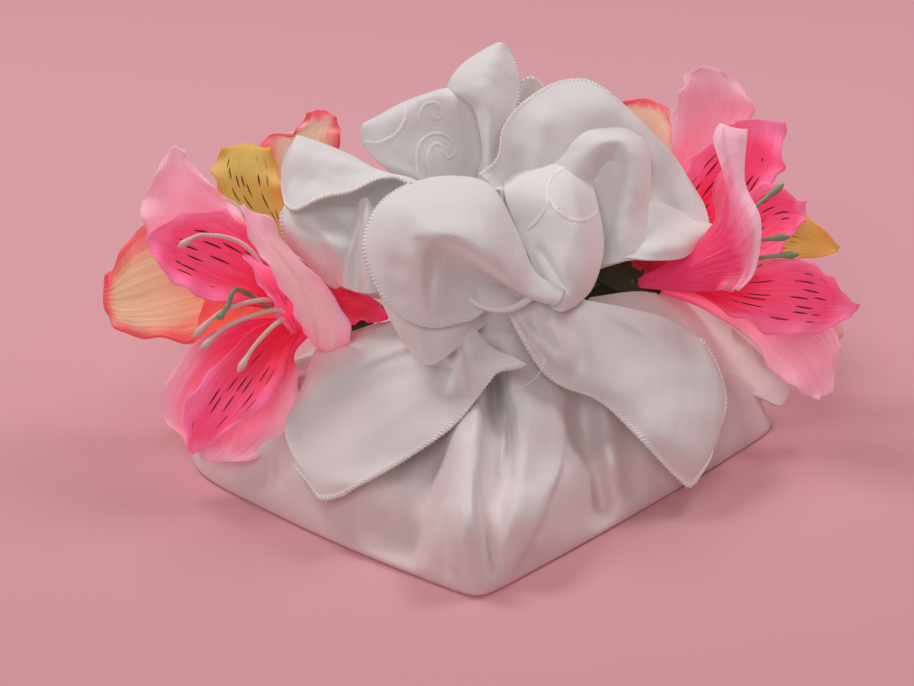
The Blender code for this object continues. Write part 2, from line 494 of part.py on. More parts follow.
def fuse(name, solids, material, solver="EXACT"):
    """One solid of several that run into each other."""
    first = solids[0]
    parts = bpy.data.collections.new(name + "_parts")
    bpy.context.scene.collection.children.link(parts)
    for solid in solids[1:]:
        bpy.context.scene.collection.objects.unlink(solid)
        parts.objects.link(hidden(solid))
    first.name = name
    joined = first.modifiers.new("joined", "BOOLEAN")
    joined.operation = "UNION"
    joined.operand_type = "COLLECTION"
    joined.collection = parts
    joined.solver = solver
    joined.use_self = solver == "EXACT"
    first.data.materials.clear()
    first.data.materials.append(material)
    return first


def grid_faces(along, across):
    return [
        (i * across + j, (i + 1) * across + j, (i + 1) * across + j + 1, i * across + j + 1)
        for i in range(along - 1)
        for j in range(across - 1)
    ]


def slab(name, grid, thickness):
    """A sheet of one thickness on a grid of layout points."""
    along, across = grid.shape[:2]
    obj = mesh_object(name, metres(place(grid)).reshape(-1, 3), grid_faces(along, across))
    solid = obj.modifiers.new("thickness", "SOLIDIFY")
    solid.thickness = thickness * METRE
    solid.offset = 0
    return obj


def leaf(name, sections, along, across, thickness):
    """A slab of cloth on the smooth surface through sections of layout points."""
    grid = through(sections, along)
    grid = np.swapaxes(through(np.swapaxes(grid, 0, 1), across), 0, 1)
    return slab(name, grid, thickness)


def petal(name, midrib, half_width, turn, cup, outline):
    """A slab that widens from the hub and narrows to the tip, with its midrib pressed back."""
    spine = through(midrib, PETAL_ALONG)
    run = np.gradient(spine, axis=0)
    run /= np.linalg.norm(run, axis=1, keepdims=True)
    side = np.stack([run[:, 1], -run[:, 0], np.zeros(PETAL_ALONG)], axis=1)
    side /= np.linalg.norm(side, axis=1, keepdims=True)
    face = np.cross(side, run)
    side = side * math.cos(math.radians(turn)) + face * math.sin(math.radians(turn))
    face = np.cross(side, run)
    wide = through(np.array(outline)[:, None], PETAL_ALONG)
    across = np.linspace(-1, 1, PETAL_ACROSS)[None, :, None]
    edge = side[:, None] * half_width * wide[:, None] * across
    back = face[:, None] * cup * wide[:, None] * (1 - across**2)
    return slab(name, spine[:, None] + edge - back, PETAL_THICKNESS)


def ball(name, centre, radius, segments=7, rings=4):
    mesh = bpy.data.meshes.new(name)
    work = bmesh.new()
    bmesh.ops.create_uvsphere(work, u_segments=segments, v_segments=rings, radius=radius * METRE)
    work.to_mesh(mesh)
    work.free()
    mesh.shade_smooth()
    obj = bpy.data.objects.new(name, mesh)
    bpy.context.scene.collection.objects.link(obj)
    obj.location = metres(place(centre))
    return obj


def tube(name, run, radii, sides):
    """A closed tube through layout points, with a radius at each point of its smooth run."""
    points = place(through(run, len(radii)))
    ahead = np.gradient(points, axis=0)
    ahead /= np.linalg.norm(ahead, axis=1, keepdims=True)
    right = np.cross(ahead, (0.0, 0.31, 0.95))
    right /= np.linalg.norm(right, axis=1, keepdims=True)
    over = np.cross(right, ahead)
    turn = np.linspace(0, 2 * math.pi, sides, endpoint=False)[None, :, None]
    ring = right[:, None] * np.cos(turn) + over[:, None] * np.sin(turn)
    verts = (points[:, None] + ring * np.asarray(radii)[:, None, None]).reshape(-1, 3)
    faces = [
        (i * sides + j, (i + 1) * sides + j, (i + 1) * sides + (j + 1) % sides, i * sides + (j + 1) % sides)
        for i in range(len(radii) - 1)
        for j in range(sides)
    ]
    faces.append(tuple(range(sides)))
    faces.append(tuple(range(len(radii) * sides - 1, (len(radii) - 1) * sides - 1, -1)))
    return mesh_object(name, metres(verts), faces)


def middle(runs):
    """The middle of the points at which several runs start."""
    return np.mean([run[0] for run in runs], axis=0)


def seat_on(hub, beyond):
    """The point just off a hub's ball, on the side that faces the point beyond."""
    away = np.subtract(beyond, hub)
    return hub + away / np.linalg.norm(away) * (HUB_RADIUS + SEAT_GAP)


def petals(name, rows, outline, material, seat=None):
    """Petals on one hub, whose pin reaches back to the hub of the petals behind them, the seat."""
    hub = middle([row[0] for row in rows])
    solids = [ball(name, hub, HUB_RADIUS)]
    if seat is not None:
        solids.append(tube(name + "_pin", (hub, seat_on(seat, hub)), [PIN_RADIUS] * 2, 5))
    for number, (midrib, half_width, turn, cup) in enumerate(rows):
        solids.append(petal(f"{name}_{number}", midrib, half_width, turn, cup, outline))
    return fuse(name, solids, material)


def stamens(name, runs, material, seat):
    hub = middle(runs)
    solids = [ball(name, hub, STAMEN_RADIUS * 2)]
    solids.append(tube(name + "_pin", (hub, seat_on(seat, hub)), [PIN_RADIUS] * 2, 5))
    radii = [STAMEN_RADIUS] * 5 + [ANTHER_RADIUS, ANTHER_RADIUS, 0.5]
    for number, run in enumerate(runs):
        solids.append(tube(f"{name}_{number}", run, radii, 5))
    return fuse(name, solids, material)


def stem(name, run, material, seat):
    """A stem along its run, from the calyx on the seat to the knot."""
    run = (seat_on(seat, run[0]), *run)
    count = 8
    radii = [
        STEM_RADIUS + (CALYX_RADIUS - STEM_RADIUS) * (1 - smoothstep(0, CALYX_SHARE, i / (count - 1)))
        for i in range(count)
    ]
    obj = tube(name, run, radii, 8)
    obj.data.materials.append(material)
    return obj


def material(name, colour, roughness):
    made = bpy.data.materials.new(name)
    made.use_nodes = True
    shader = made.node_tree.nodes["Principled BSDF"]
    shader.inputs["Base Color"].default_value = (*colour, 1)
    shader.inputs["Roughness"].default_value = roughness
    shader.inputs["Metallic"].default_value = 0.0
    made.diffuse_color = (*colour, 1)
    return made


def parcel():
    angle = around_angles()
    rings = parcel_rings(RINGS, angle)
    turn = np.radians(angle)
    for radius, height in CROWN:
        x = KNOT_SHIFT[0] + radius * np.cos(turn)
        y = KNOT_SHIFT[1] + radius * np.sin(turn)
        rings = np.concatenate([rings, np.stack([x, y, np.full(len(turn), height)], axis=-1)[None]])
    return closed_rings("parcel", rings, (KNOT_SHIFT[0], KNOT_SHIFT[1], CROWN[-1][1] + 1.5))


def cloth():
    white = material("cloth_white", (0.83, 0.81, 0.81), 0.85)
    solids = [parcel()]
    for name, rows, along, across in EARS:
        solids.append(leaf(name, rows, along, across, CLOTH_THICKNESS))
    return fuse("furoshiki_cloth", solids, white, "MANIFOLD")


def flower(name, outer, inner, filaments, run):
    warm = name.endswith("back")
    outer_colour = (0.90, 0.55, 0.48) if warm else (0.88, 0.45, 0.58)
    inner_colour = (0.85, 0.55, 0.25) if warm else (0.85, 0.10, 0.27)
    back = middle([row[0] for row in outer])
    front = middle([row[0] for row in inner])
    petals(name + "_outer_petals", outer, OUTER_OUTLINE, material(name + "_outer", outer_colour, 0.7))
    petals(name + "_inner_petals", inner, INNER_OUTLINE, material(name + "_inner", inner_colour, 0.7), back)
    stamens(name + "_stamens", filaments, material(name + "_stamen", (0.85, 0.62, 0.6), 0.5), front)
    stem(name + "_stem", run, material(name + "_stem", (0.13, 0.2, 0.06), 0.6), back)


def main():
    for old in list(bpy.data.objects):
        bpy.data.objects.remove(old)
    cloth()
    for row in FLOWERS:
        flower(*row)


if __name__ == "__main__":
    main()
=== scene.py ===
import math

import bmesh
import bpy
import numpy as np
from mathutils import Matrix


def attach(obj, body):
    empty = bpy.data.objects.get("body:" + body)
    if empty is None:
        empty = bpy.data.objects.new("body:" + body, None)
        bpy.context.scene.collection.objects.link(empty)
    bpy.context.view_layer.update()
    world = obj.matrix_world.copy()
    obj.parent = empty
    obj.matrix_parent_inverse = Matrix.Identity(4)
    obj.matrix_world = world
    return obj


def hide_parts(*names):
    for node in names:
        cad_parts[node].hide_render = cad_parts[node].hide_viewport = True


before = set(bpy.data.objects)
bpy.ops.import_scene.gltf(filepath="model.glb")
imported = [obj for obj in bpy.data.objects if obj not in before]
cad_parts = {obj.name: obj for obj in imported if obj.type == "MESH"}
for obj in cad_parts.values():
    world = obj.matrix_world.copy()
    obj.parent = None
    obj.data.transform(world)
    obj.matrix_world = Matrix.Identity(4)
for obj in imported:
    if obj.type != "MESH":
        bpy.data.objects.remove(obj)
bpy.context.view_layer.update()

bl_info = {
    "name": "Furoshiki Wrap",
    "version": (1, 0, 0),
    "blender": (4, 5, 0),
    "location": "3D View > Sidebar > Furoshiki",
    "description": "Dresses a tied wrapping cloth and the silk flowers under its knot",
    "category": "Object",
}

CLOTH_NODE = "furoshiki_cloth"
CLOTH_UV = "cloth_map"
MM = 0.001

# The leaning layout plane: x across, up the plane, and out of it towards the eye, in millimetres.
LEAN_DEG = 28.0
SIGHT = 700.0
LAYOUT_ORIGIN = (-7.7, 15.2, 28.5)

# The stage and the camera.
FLOOR_HALF = 6.0  # metres from the middle of the floor to its edge
FLOOR_DROP = 0.0002  # metres by which the floor lies under what rests on it
LIGHTS = (  # name, place in metres, size in metres or none for a sun, share of the power
    ("window_left", (-0.50, 0.30, 0.82), 0.30, 0.325),
    ("window_right", (0.50, 0.34, 0.82), 0.30, 0.255),
    ("front_fill", (-0.30, -0.95, 0.95), None, 0.065),
)
LIGHT_AIM = (0.0, 0.0, 0.04)
FILL_SPREAD = 34.0  # degrees of sky that the even fill light comes from
SKY_COLOUR = (1.0, 0.71, 0.74, 1)
SKY_STRENGTH = 0.225
SENSOR_WIDTH = 36.0
FRAME_PIXELS = 914
PIXELS_PER_MM = 3  # on the layout plane
CLIP_START = 0.01

# The wrapped parcel.
SIDES = (  # facing in degrees from +X, distance from the middle
    (-47.8, 68.6),
    (-42.2, 69.4),
    (47.0, 74.0),
    (137.0, 70.0),
    (190.0, 96.0),
    (228.5, 78.6),
    (237.9, 79.8),
)
CORNER_SHARPNESS = 30.0
KNOT_SHIFT = (6.0, -2.0)
NECK_RADIUS = 12.0
PARCEL_RINGS = 118
FRONT_ANGLES = (-124.0, -44.0)
FRONT_STEP = 0.40
BACK_STEP = 2.2
PROFILE = (  # way up the cloth, share of the way to the neck, inset, height
    (0.00, 0.00, 1.0, 0.0),
    (0.05, 0.00, 0.3, 1.6),
    (0.12, 0.00, 1.2, 5.5),
    (0.20, 0.00, 3.8, 11.0),
    (0.27, 0.00, 6.8, 16.5),
    (0.34, 0.04, 9.0, 20.5),
    (0.44, 0.16, 9.0, 24.0),
    (0.58, 0.38, 6.0, 28.5),
    (0.72, 0.60, 3.0, 34.0),
    (0.86, 0.81, 1.0, 40.5),
    (1.00, 1.00, 0.0, 47.5),
)
CROWN = ((13.5, 52.0), (12.0, 58.0), (7.0, 62.0), (0.0, 63.5))  # radius and height over the knot
UNDERSIDE = (0.9, 0.6, 0.3, 0.0)  # shares of the foot's radius
SIDE_SAG = 7.0
PARCEL_WAVES = ((3, 26.0, 0.5), (8, 9.0, 0.14))  # seed, length and height of the unevenness
PAINTED_BOUNCE_TINT = (1.0, 0.77, 0.79)  # painted pink bounce light from the floor: share of each colour that the cloth keeps at its foot
PAINTED_BOUNCE_HEIGHT = 0.032  # metres over which the painted bounce light fades

CORNER_FOLDS = (  # rim angle, neck angle, rim width, neck width, height, starts at way, full at way
    (10.0, 30.0, 6.0, 3.0, -3.0, 0.30, 0.60),
    (4.0, 8.0, 4.0, 3.0, 3.0, 0.30, 0.60),
    (20.0, 55.0, 5.0, 3.0, 2.5, 0.30, 0.60),
    (84.0, 70.0, 5.0, 3.0, 4.0, 0.16, 0.55),
    (90.0, 88.0, 4.5, 3.5, -5.0, 0.20, 0.55),
    (97.0, 108.0, 5.0, 3.0, 4.0, 0.16, 0.55),
    (108.0, 135.0, 8.0, 4.0, -3.5, 0.30, 0.60),
    (74.0, 48.0, 8.0, 4.0, -3.5, 0.30, 0.60),
    (170.0, 150.0, 6.0, 3.0, 3.0, 0.30, 0.60),
    (178.0, 172.0, 5.0, 3.0, -3.0, 0.30, 0.60),
    (-174.0, -160.0, 5.0, 3.0, 3.0, 0.30, 0.60),
)

# Folds: height, width to the left and to the right of the run, then the run's points (x, up).
FRONT_FOLDS = (
    (4.5, 4.5, 4.0, ((10, -6), (6.2, -22), (3.0, -35), (1.7, -45.7), (1.3, -57), (2, -70), (4, -84))),
    (
        4.2, 3.5, 0.8,
        ((10.4, -6), (9.4, -16), (8.4, -27), (7.5, -36), (6.5, -46.5), (6.2, -55), (7.4, -64), (9.6, -74)),
    ),
    (-5.5, 4.4, 4.6, ((12.5, -2), (12.3, -16), (12.8, -31), (12.2, -46), (12.5, -64), (14, -92))),
    (-6.0, 4.2, 4.0, ((12.5, 2), (12.3, -14), (12.8, -30), (12.5, -54))),
    (-9.0, 3.6, 3.6, ((12.0, 4), (12.2, -10), (12.5, -22), (12.6, -36))),
    (3.8, 4.6, 1.2, ((15.0, -20), (15.1, -33), (14.6, -46))),
    (-3.2, 1.9, 2.2, ((17.0, -16), (17.8, -30), (18.2, -43))),
    (3.6, 0.8, 4.0, ((14.2, -6), (16.9, -19.7), (18.9, -30), (19.6, -40), (18.4, -47))),
    (-5.5, 1.1, 2.9, ((6.4, -38), (6.8, -52), (8.0, -60), (10.0, -68), (13.0, -80))),
    (5.2, 3.6, 8.0, ((22, -8), (24.3, -22), (24, -38), (21, -50), (17, -64), (12.5, -82))),
    (2.6, 4.0, 1.0, ((35.3, -13), (35.9, -29), (34.3, -40.7), (29.3, -54), (23.3, -66.3), (14.5, -85))),
    (-12.5, 4.6, 4.8, ((40, -6), (41.5, -24), (44.5, -40), (47.5, -56), (51, -76))),
    (2.2, 1.4, 3.0, ((47, -10), (48.6, -24), (49.6, -36), (50.6, -52))),
    (-4.0, 4.0, 6.0, ((57, -18), (57, -38), (55, -60))),
    (-12.5, 9.0, 4.0, ((-3.0, -18), (-6.5, -36), (-10, -52), (-15, -68), (-21, -88))),
    (-7.0, 7.0, 6.5, ((-17, -28), (-20, -46), (-26, -66), (-33, -84))),
    (-1.3, 1.5, 1.5, ((0.0, -52), (0.4, -66), (3.5, -80))),
    (-1.3, 1.6, 1.6, ((-3.6, -54), (-4.2, -68), (-2.0, -84))),
    (-3.0, 6.0, 6.0, ((-68.0, -38.0), (-58.0, -47.0))),
)
FRONT_OUT = -20.0  # front folds touch only cloth nearer to the eye than this
FOLD_FOOT = (1.0, 9.0)  # heights over which the front folds die out towards the floor
FOLD_END = 0.32  # share of a fold's run over which each end dies out

# The ears of the knot. A row is one section across the ear, and its points run in the order that
# the comment gives, each as (x, up, out).
FRONT_EAR = (  # root, hollow, ridge, crown, hem; round the ear from under the knot
    ((15.5, 13.5, 32), (11.5, 11.5, 38), (8.5, 10, 43), (6.5, 8.5, 45), (4.5, 7.5, 47)),
    ((14.5, 14, 31), (7.5, 12.5, 39), (-3.5, 8.5, 49), (-5.5, 7, 51), (-8.5, 5.5, 52)),
    ((13.5, 14.5, 31), (4.5, 14.5, 40), (-7.5, 14.5, 53), (-14.5, 12, 55), (-20.5, 10.5, 54)),
    ((13.5, 15, 31), (2.5, 17.5, 40), (-10, 23.5, 57), (-19.5, 22.5, 57), (-28.5, 22.5, 53)),
    ((13.5, 15.5, 31), (1.5, 21, 39), (-11, 33.5, 60), (-21, 34, 58), (-31, 34.5, 49)),
    ((14, 16.5, 31), (4.5, 22.5, 39), (-4, 32.5, 62), (-14, 42.5, 60), (-25.5, 46.5, 44)),
    ((14.5, 17, 31), (7, 23.5, 41), (2.5, 29.5, 62), (-5.5, 46, 58), (-14, 53.5, 38)),
    ((15.5, 17.5, 32), (10.5, 23.5, 43), (9.5, 25.5, 60), (4.5, 44.5, 58), (-0.5, 55.5, 34)),
    ((16.5, 17.5, 33), (14.5, 22.5, 45), (15.5, 21.5, 57), (13.5, 39.5, 55), (11.5, 52, 37)),
    ((17.5, 17, 34), (18.5, 20, 46), (19.5, 18.5, 53), (20, 29.5, 52), (20, 37, 42)),
    ((18.5, 15.5, 35), (22.5, 16.5, 44), (25, 15.5, 48), (25.5, 19.5, 46), (26, 23.5, 42)),
    ((19.5, 14.5, 35), (26.5, 14, 40), (33, 13, 43), (35, 15, 43), (36, 17.5, 41)),
)
UNDER_EAR = (  # upper edge, middle, lower edge; from left to right
    ((-26.5, 21, 40), (-25.5, 17, 42), (-24.5, 12.5, 42)),
    ((-21, 15, 43), (-20, 8.5, 46.5), (-18.5, 1.5, 44.5)),
    ((-16, 14.5, 44), (-14, 5, 49), (-13, -5.5, 46)),
    ((-11.5, 13, 43), (-8.5, 3.5, 49), (-7.5, -7, 46.5)),
    ((-2, 12.5, 39), (0.5, 6.5, 45), (2.5, 0.5, 43)),
    ((13, 16, 26), (14.5, 13.5, 27), (15, 11, 27)),
)
LEFT_EAR_ROOF = (  # back, crest, front, hem; from the knot to the tip
    ((9, 27, 24), (8, 29, 26), (6, 30, 28), (4, 30, 30)),
    ((-9, 51, 16), (-10.5, 51.5, 22), (-12.5, 51, 28), (-15.5, 52, 32)),
    ((-22.5, 55.5, 18), (-23, 56.5, 24), (-23.5, 55.5, 29), (-24.5, 55, 33)),
    ((-35.5, 62.5, 20), (-36.5, 59.5, 28), (-36.5, 55, 31), (-35.5, 50.5, 35)),
    ((-45, 66.5, 20), (-46.5, 61.5, 28), (-46.5, 54.5, 30), (-45, 48.5, 36)),
    ((-52.5, 69, 20), (-55, 62.5, 27), (-55, 52.5, 31), (-53.5, 44.5, 36)),
    ((-53.5, 68.5, 18), (-57.5, 61.5, 22), (-58.5, 52.5, 26), (-57.5, 46, 33)),
)
LEFT_EAR_LIP = (  # inside wall, lip, bulge, underside, foot; from the tip to the knot
    ((-55.5, 48.5, 28), (-58.5, 43.5, 31), (-58.5, 38.5, 32), (-56.5, 33.5, 29), (-52.5, 29.5, 24)),
    ((-49, 46.5, 27), (-49.5, 41, 33), (-49.5, 35, 35.5), (-48.5, 29.5, 31), (-46.5, 22.5, 22)),
    ((-40.5, 46, 25), (-40.5, 40, 30), (-39.5, 32.5, 35.5), (-40.5, 26, 30), (-41.5, 18.5, 20)),
    ((-32.5, 45.5, 23), (-32.5, 38, 28), (-32.5, 30.5, 32.5), (-33, 23.5, 29), (-34, 17, 20)),
    ((-24, 42, 22), (-24, 34, 26), (-24, 27, 30), (-24.5, 21, 27), (-25.5, 15, 20)),
    ((-10.5, 36, 22), (-9, 31, 24.5), (-8.5, 27, 26), (-9, 22.5, 25), (-10.5, 17.5, 22)),
    ((6, 20, 24), (7, 19, 26), (7, 18, 27), (6, 17, 26), (5, 16, 24)),
)
LEFT_EAR_INSIDE = (  # top, middle, foot of the pocket's far wall; from the tip to the knot
    ((-54, 50, 27), (-54, 46, 26), (-53.5, 41, 27)),
    ((-45, 58, 21), (-45, 48, 23), (-45, 38, 26)),
    ((-35, 59, 20), (-35, 48, 22), (-35, 37, 25)),
    ((-24, 56, 18), (-24, 45, 20), (-24, 34, 23)),
    ((-10, 50, 18), (-9, 40, 19), (-9, 30, 22)),
    ((4, 28, 22), (5, 24, 22), (6, 20, 22)),
)
MIDDLE_EAR = (  # left edge, middle, right edge; from the knot upwards
    ((9, 20, 18), (12, 20, 19), (16, 20, 18)),
    ((-6, 45, 6), (4, 46, 8), (18, 46, 8)),
    ((-4, 58, 5), (4, 60, 8), (18, 60, 8)),
    ((-2, 70, 5), (4, 72, 8), (13, 73, 8)),
    ((-1.5, 83.5, 6), (4, 86, 7), (11, 87, 6)),
)
SIDE_PLEAT = (  # left edge, small fold, valley, fold, right edge; from the top downwards
    ((-32, 47.5, 28), (-31.6, 48, 30), (-31, 48.3, 31), (-30, 48.3, 32), (-28.5, 47.5, 30)),
    ((-33.5, 42, 29), (-32.8, 42, 32.5), (-31.8, 42, 33), (-30, 42, 35.5), (-27, 42, 32)),
    ((-36, 34.5, 29), (-34.5, 34.5, 33.5), (-32.2, 34, 33), (-29.3, 34, 36.3), (-25.5, 34, 32)),
    ((-39.5, 27, 27), (-37, 27, 34), (-33.2, 26, 32.2), (-28.6, 25.5, 36), (-23.5, 26, 32)),
    ((-39.5, 19, 24), (-37.5, 18.5, 31), (-33.5, 17, 30), (-28.8, 16.5, 33.5), (-22, 18, 30)),
)
SCROLL_EAR = (  # left edge, left, right, right edge; from the knot upwards
    ((7.5, 19.5, 22), (10.5, 19.5, 24), (12.5, 20, 24), (14.5, 21, 22)),
    ((-10.5, 42.5, 14), (-5.5, 42.5, 17), (-0.5, 43.5, 15), (4.5, 46, 12)),
    ((-19, 54.5, 15), (-10.5, 53.5, 20), (-1.5, 54.5, 17), (7, 54.5, 9)),
    ((-27.5, 61.5, 18), (-17.5, 61, 22), (-2, 62.5, 18), (12, 61.5, 8)),
    ((-32, 68.5, 19), (-20.5, 68.5, 22), (-6, 71, 18), (10, 70.5, 9)),
    ((-31.5, 72.5, 19), (-20.5, 77, 20), (-9, 81.5, 19), (0.5, 81, 13)),
    ((-30.5, 73, 15), (-19, 79.5, 13), (-8.5, 83.5, 12), (-3, 85, 9)),
)
TOP_EAR = (  # left edge, middle, right edge; from the knot upwards
    ((11.5, 19.5, 22), (14.5, 19.5, 24), (16.5, 19.5, 22)),
    ((7, 51, 12), (10.5, 51, 16), (13.5, 51, 14)),
    ((8.5, 64.5, 12), (11, 64.5, 17), (14.5, 64.5, 13)),
    ((5.5, 78.5, 13), (11.5, 77, 19), (18.5, 76, 13)),
    ((-3, 84.5, 10), (9.5, 85, 18), (21, 83.5, 10)),
    ((1.5, 92.5, 8), (11, 92.5, 14), (20, 91.5, 8)),
    ((10.5, 98.5, 6), (14.5, 100, 8), (17.5, 97.5, 6)),
)
BACK_EAR = (  # left edge, middle, right edge; from the knot upwards
    ((16, 21, 18), (18.5, 21, 20), (20.5, 21, 18)),
    ((16, 57.5, -8), (21, 59.5, -6), (26, 61, -10)),
    ((14.5, 74.5, -7), (22.5, 76, -5), (31, 76, -9)),
    ((19.5, 86, -6), (25, 88.5, -4), (29.5, 84.5, -8)),
)
RIGHT_EAR = (  # hem, upper, middle, foot, root; round the ear from the top left
    ((7.5, 56, 20), (9.5, 54, 21.5), (12, 51, 22), (15, 48, 22), (16, 20.5, 22)),
    ((13.5, 61.5, 20), (15, 58, 19), (16.5, 54, 18), (18, 49, 18), (16.5, 20.5, 22)),
    ((15.5, 71.5, 18), (18.5, 66, 18), (21, 59.5, 18), (23.5, 51, 18), (17, 20.5, 22)),
    ((21, 79, 14), (24.5, 71, 17), (27.5, 61, 19), (30.5, 49.5, 18), (18, 20, 22)),
    ((29, 84.7, 11), (33, 74.5, 17), (36, 62.5, 19), (37.5, 47.5, 17), (19, 20, 22)),
    ((35.5, 87.3, 10), (39, 77, 17), (41.5, 64.5, 18), (42.5, 45, 17), (20, 19.5, 22)),
    ((43, 87.6, 10), (46, 78, 16), (48, 64, 16), (48.5, 42, 17), (20.5, 19.2, 22)),
    ((50, 84, 9), (53, 75.5, 14), (54.5, 62.5, 13), (54, 38, 16.5), (21, 19, 22)),
    ((56.5, 78.5, 8), (60, 69.5, 11), (61.5, 56, 9), (60.5, 34.5, 15.5), (22, 18.5, 22)),
    ((65, 70.3, 7), (67.5, 61, 7), (69, 47.5, 7), (67, 34, 14), (23, 18, 22)),
    ((72.5, 62, 7), (74, 54, 8), (75, 44, 10), (74, 35, 12), (23.5, 17.5, 22)),
    ((77.2, 54.7, 8), (78.5, 49, 10), (79, 42, 12), (78, 36, 14), (23.8, 17.2, 22)),
    ((82, 46.7, 9), (83.5, 42.5, 11), (84, 39.5, 12), (83, 36.5, 13), (24, 17, 22)),
)
RIGHT_EAR_HOOK = (  # outer base, shoulder, crest, inner base; over the hook and down
    ((16, 52, 16), (19, 50.5, 17), (23, 48, 17), (27, 42, 16)),
    ((24, 59, 16), (28, 56.5, 18.5), (33, 52, 20), (38, 46, 17)),
    ((32, 66, 16), (36, 62.5, 19), (41, 58, 21), (44, 52, 17)),
    ((40, 71, 15.5), (43, 68.5, 19), (46.5, 64.5, 21.5), (48, 58, 16)),
    ((49, 73, 14), (49.5, 70, 18), (50.5, 66.5, 21.5), (51, 61, 15.5)),
    ((58, 71.5, 11), (56.5, 68.5, 17), (54.5, 66, 20.5), (52.5, 61, 15)),
    ((63.5, 65, 9.5), (61.5, 62.5, 17), (57.5, 60.5, 20), (53.5, 58, 14.5)),
    ((64.5, 55, 10), (62.5, 53, 18), (57.5, 51.5, 20.5), (51.5, 50, 14.5)),
    ((64, 45, 12), (61.5, 44, 18.5), (56, 42.5, 21), (49.5, 41, 15)),
    ((64.5, 35.5, 16), (61, 34.5, 20.5), (55, 33, 22), (49, 32, 18)),
    ((66, 29, 18), (61.5, 28, 21), (54.5, 27, 22), (48, 25.5, 20)),
)
RIGHT_EAR_CORNER = (  # left, left middle, right middle, tip; from the crease downwards
    ((62, 48, 12), (70, 46, 11), (78, 42, 11), (84.5, 39, 12)),
    ((60, 39.5, 16), (69.5, 39, 17), (77.5, 38, 17), (84.5, 38, 13)),
    ((56.5, 31, 20), (66.5, 32, 23), (76, 33, 21), (84, 37, 14)),
    ((53.5, 28.5, 22), (65.5, 27.5, 24), (75.5, 28.5, 20), (81.5, 34.5, 14)),
)
RIGHT_LOBE = (  # left edge, left, right, right edge; from the top downwards
    ((15, 56, 16), (24.5, 59, 16), (35, 61.5, 16), (44.5, 57, 14)),
    ((16.5, 47.5, 24), (26, 49.5, 31), (37, 50.5, 32), (46.5, 47.5, 22)),
    ((20.5, 37.5, 26), (29.5, 38.5, 35), (40, 39.5, 38), (48.5, 37.5, 26)),
    ((25, 27, 29), (32, 28.5, 39), (41.5, 28.5, 40), (48.5, 29, 28)),
    ((28, 17.5, 34), (34, 17.5, 42), (40, 18.5, 41), (45, 18.5, 32)),
    ((31, 11.5, 38), (34.5, 10.5, 40), (37.5, 11.5, 38), (40, 13, 35)),
)
CORNER_FOLD = (  # upper edge, middle, lower edge; from under the right tail to the parcel's corner
    ((44, 15, 16), (45, 10, 20), (46, 4, 22)),
    ((62, 17, 4), (63, 9, 12), (64, -1, 16)),
    ((78, 13, -4), (79, 3, 6), (81, -8, 12)),
    ((90, 6, -8), (90, -3, 0), (90, -13.5, 8)),
    ((100, -3, -10), (100, -10, -4), (101, -18.3, 2)),
    ((107, -9.5, -11), (108, -14, -8), (107, -21, -3)),
    ((110.5, -13, -11), (111, -15.5, -10), (110, -18.5, -7)),
)

# The two ends of the cloth that hang over the front of the parcel.
LEFT_TAIL = (  # back edge, ridge, upper, middle, lower, hem; from the knot to the tip
    ((-0.5, 11, 30), (0.5, 9, 34), (2.5, 7.5, 38), (4.5, 6, 40), (6, 4.5, 41), (7.5, 3, 40)),
    ((-9, 9.5, 27), (-7, 4.5, 33), (-1.5, 2.5, 38), (4, 0.5, 42), (8.5, -1.2, 44), (12, -1.8, 44)),
    ((-15.5, 8.5, 24), (-12.5, 2, 32), (-5.5, -2, 37), (3, -4, 42), (13, -5, 46), (22.3, -7, 50)),
    ((-23, 7, 21), (-20, 0, 31), (-13, -5.5, 37), (-3, -7.5, 42), (6, -8.3, 46), (13.5, -9.5, 50)),
    ((-31, 5, 19), (-28.5, 0, 29), (-22.5, -7.5, 36), (-10.5, -9.5, 40), (1, -12.5, 44), (9.5, -14, 51)),
    (
        (-46, -1.5, 21), (-42.5, -9.5, 32), (-35.5, -17.5, 39),
        (-24, -20.5, 44), (-10.5, -23, 47), (-0.5, -26.5, 52),
    ),
    (
        (-50.5, -13, 28), (-52, -19.5, 37), (-47.5, -27.5, 43),
        (-37.5, -32.5, 50), (-25.5, -35.5, 55), (-14, -36.5, 55),
    ),
    (
        (-55.5, -26, 41), (-57, -29, 46), (-53, -37.5, 53),
        (-46.5, -42.5, 58), (-37.5, -45, 63), (-28.5, -45, 65),
    ),
    (
        (-53.5, -39.5, 53), (-52.5, -43, 55), (-49.5, -46.5, 58),
        (-46, -51.5, 61), (-41.5, -51.5, 63), (-37.5, -50, 65),
    ),
)
RIGHT_TAIL = (  # hem, inner, middle, ridge, back edge; from the knot to the tip
    ((17, 10.5, 40), (20.5, 11.5, 42), (26, 13.5, 40), (34.5, 14.5, 34), (41, 14.5, 30)),
    ((23.5, -1.5, 43), (29.5, 1, 42), (39.5, 4.5, 38), (51, 8.5, 30), (61, 10.5, 24)),
    ((32.5, -12.5, 38), (41, -9, 40), (52.5, -5, 38), (66, -0.5, 30), (72.5, 7, 22)),
    ((47.5, -19, 38), (56, -17.5, 42), (66, -14, 40), (81, -9, 30), (81, 1.5, 20)),
    ((61, -31.5, 46), (68.5, -29, 46), (77.5, -24, 40), (87.5, -16.5, 30), (86, -6.5, 22)),
    ((71.5, -42.5, 44), (77, -38.5, 44), (82.5, -34, 40), (87.5, -27.5, 33), (89.5, -19, 28)),
    ((77.5, -48, 42), (79, -46.5, 42), (81, -43.5, 40), (83.5, -39.5, 37), (85, -35.5, 35)),
)

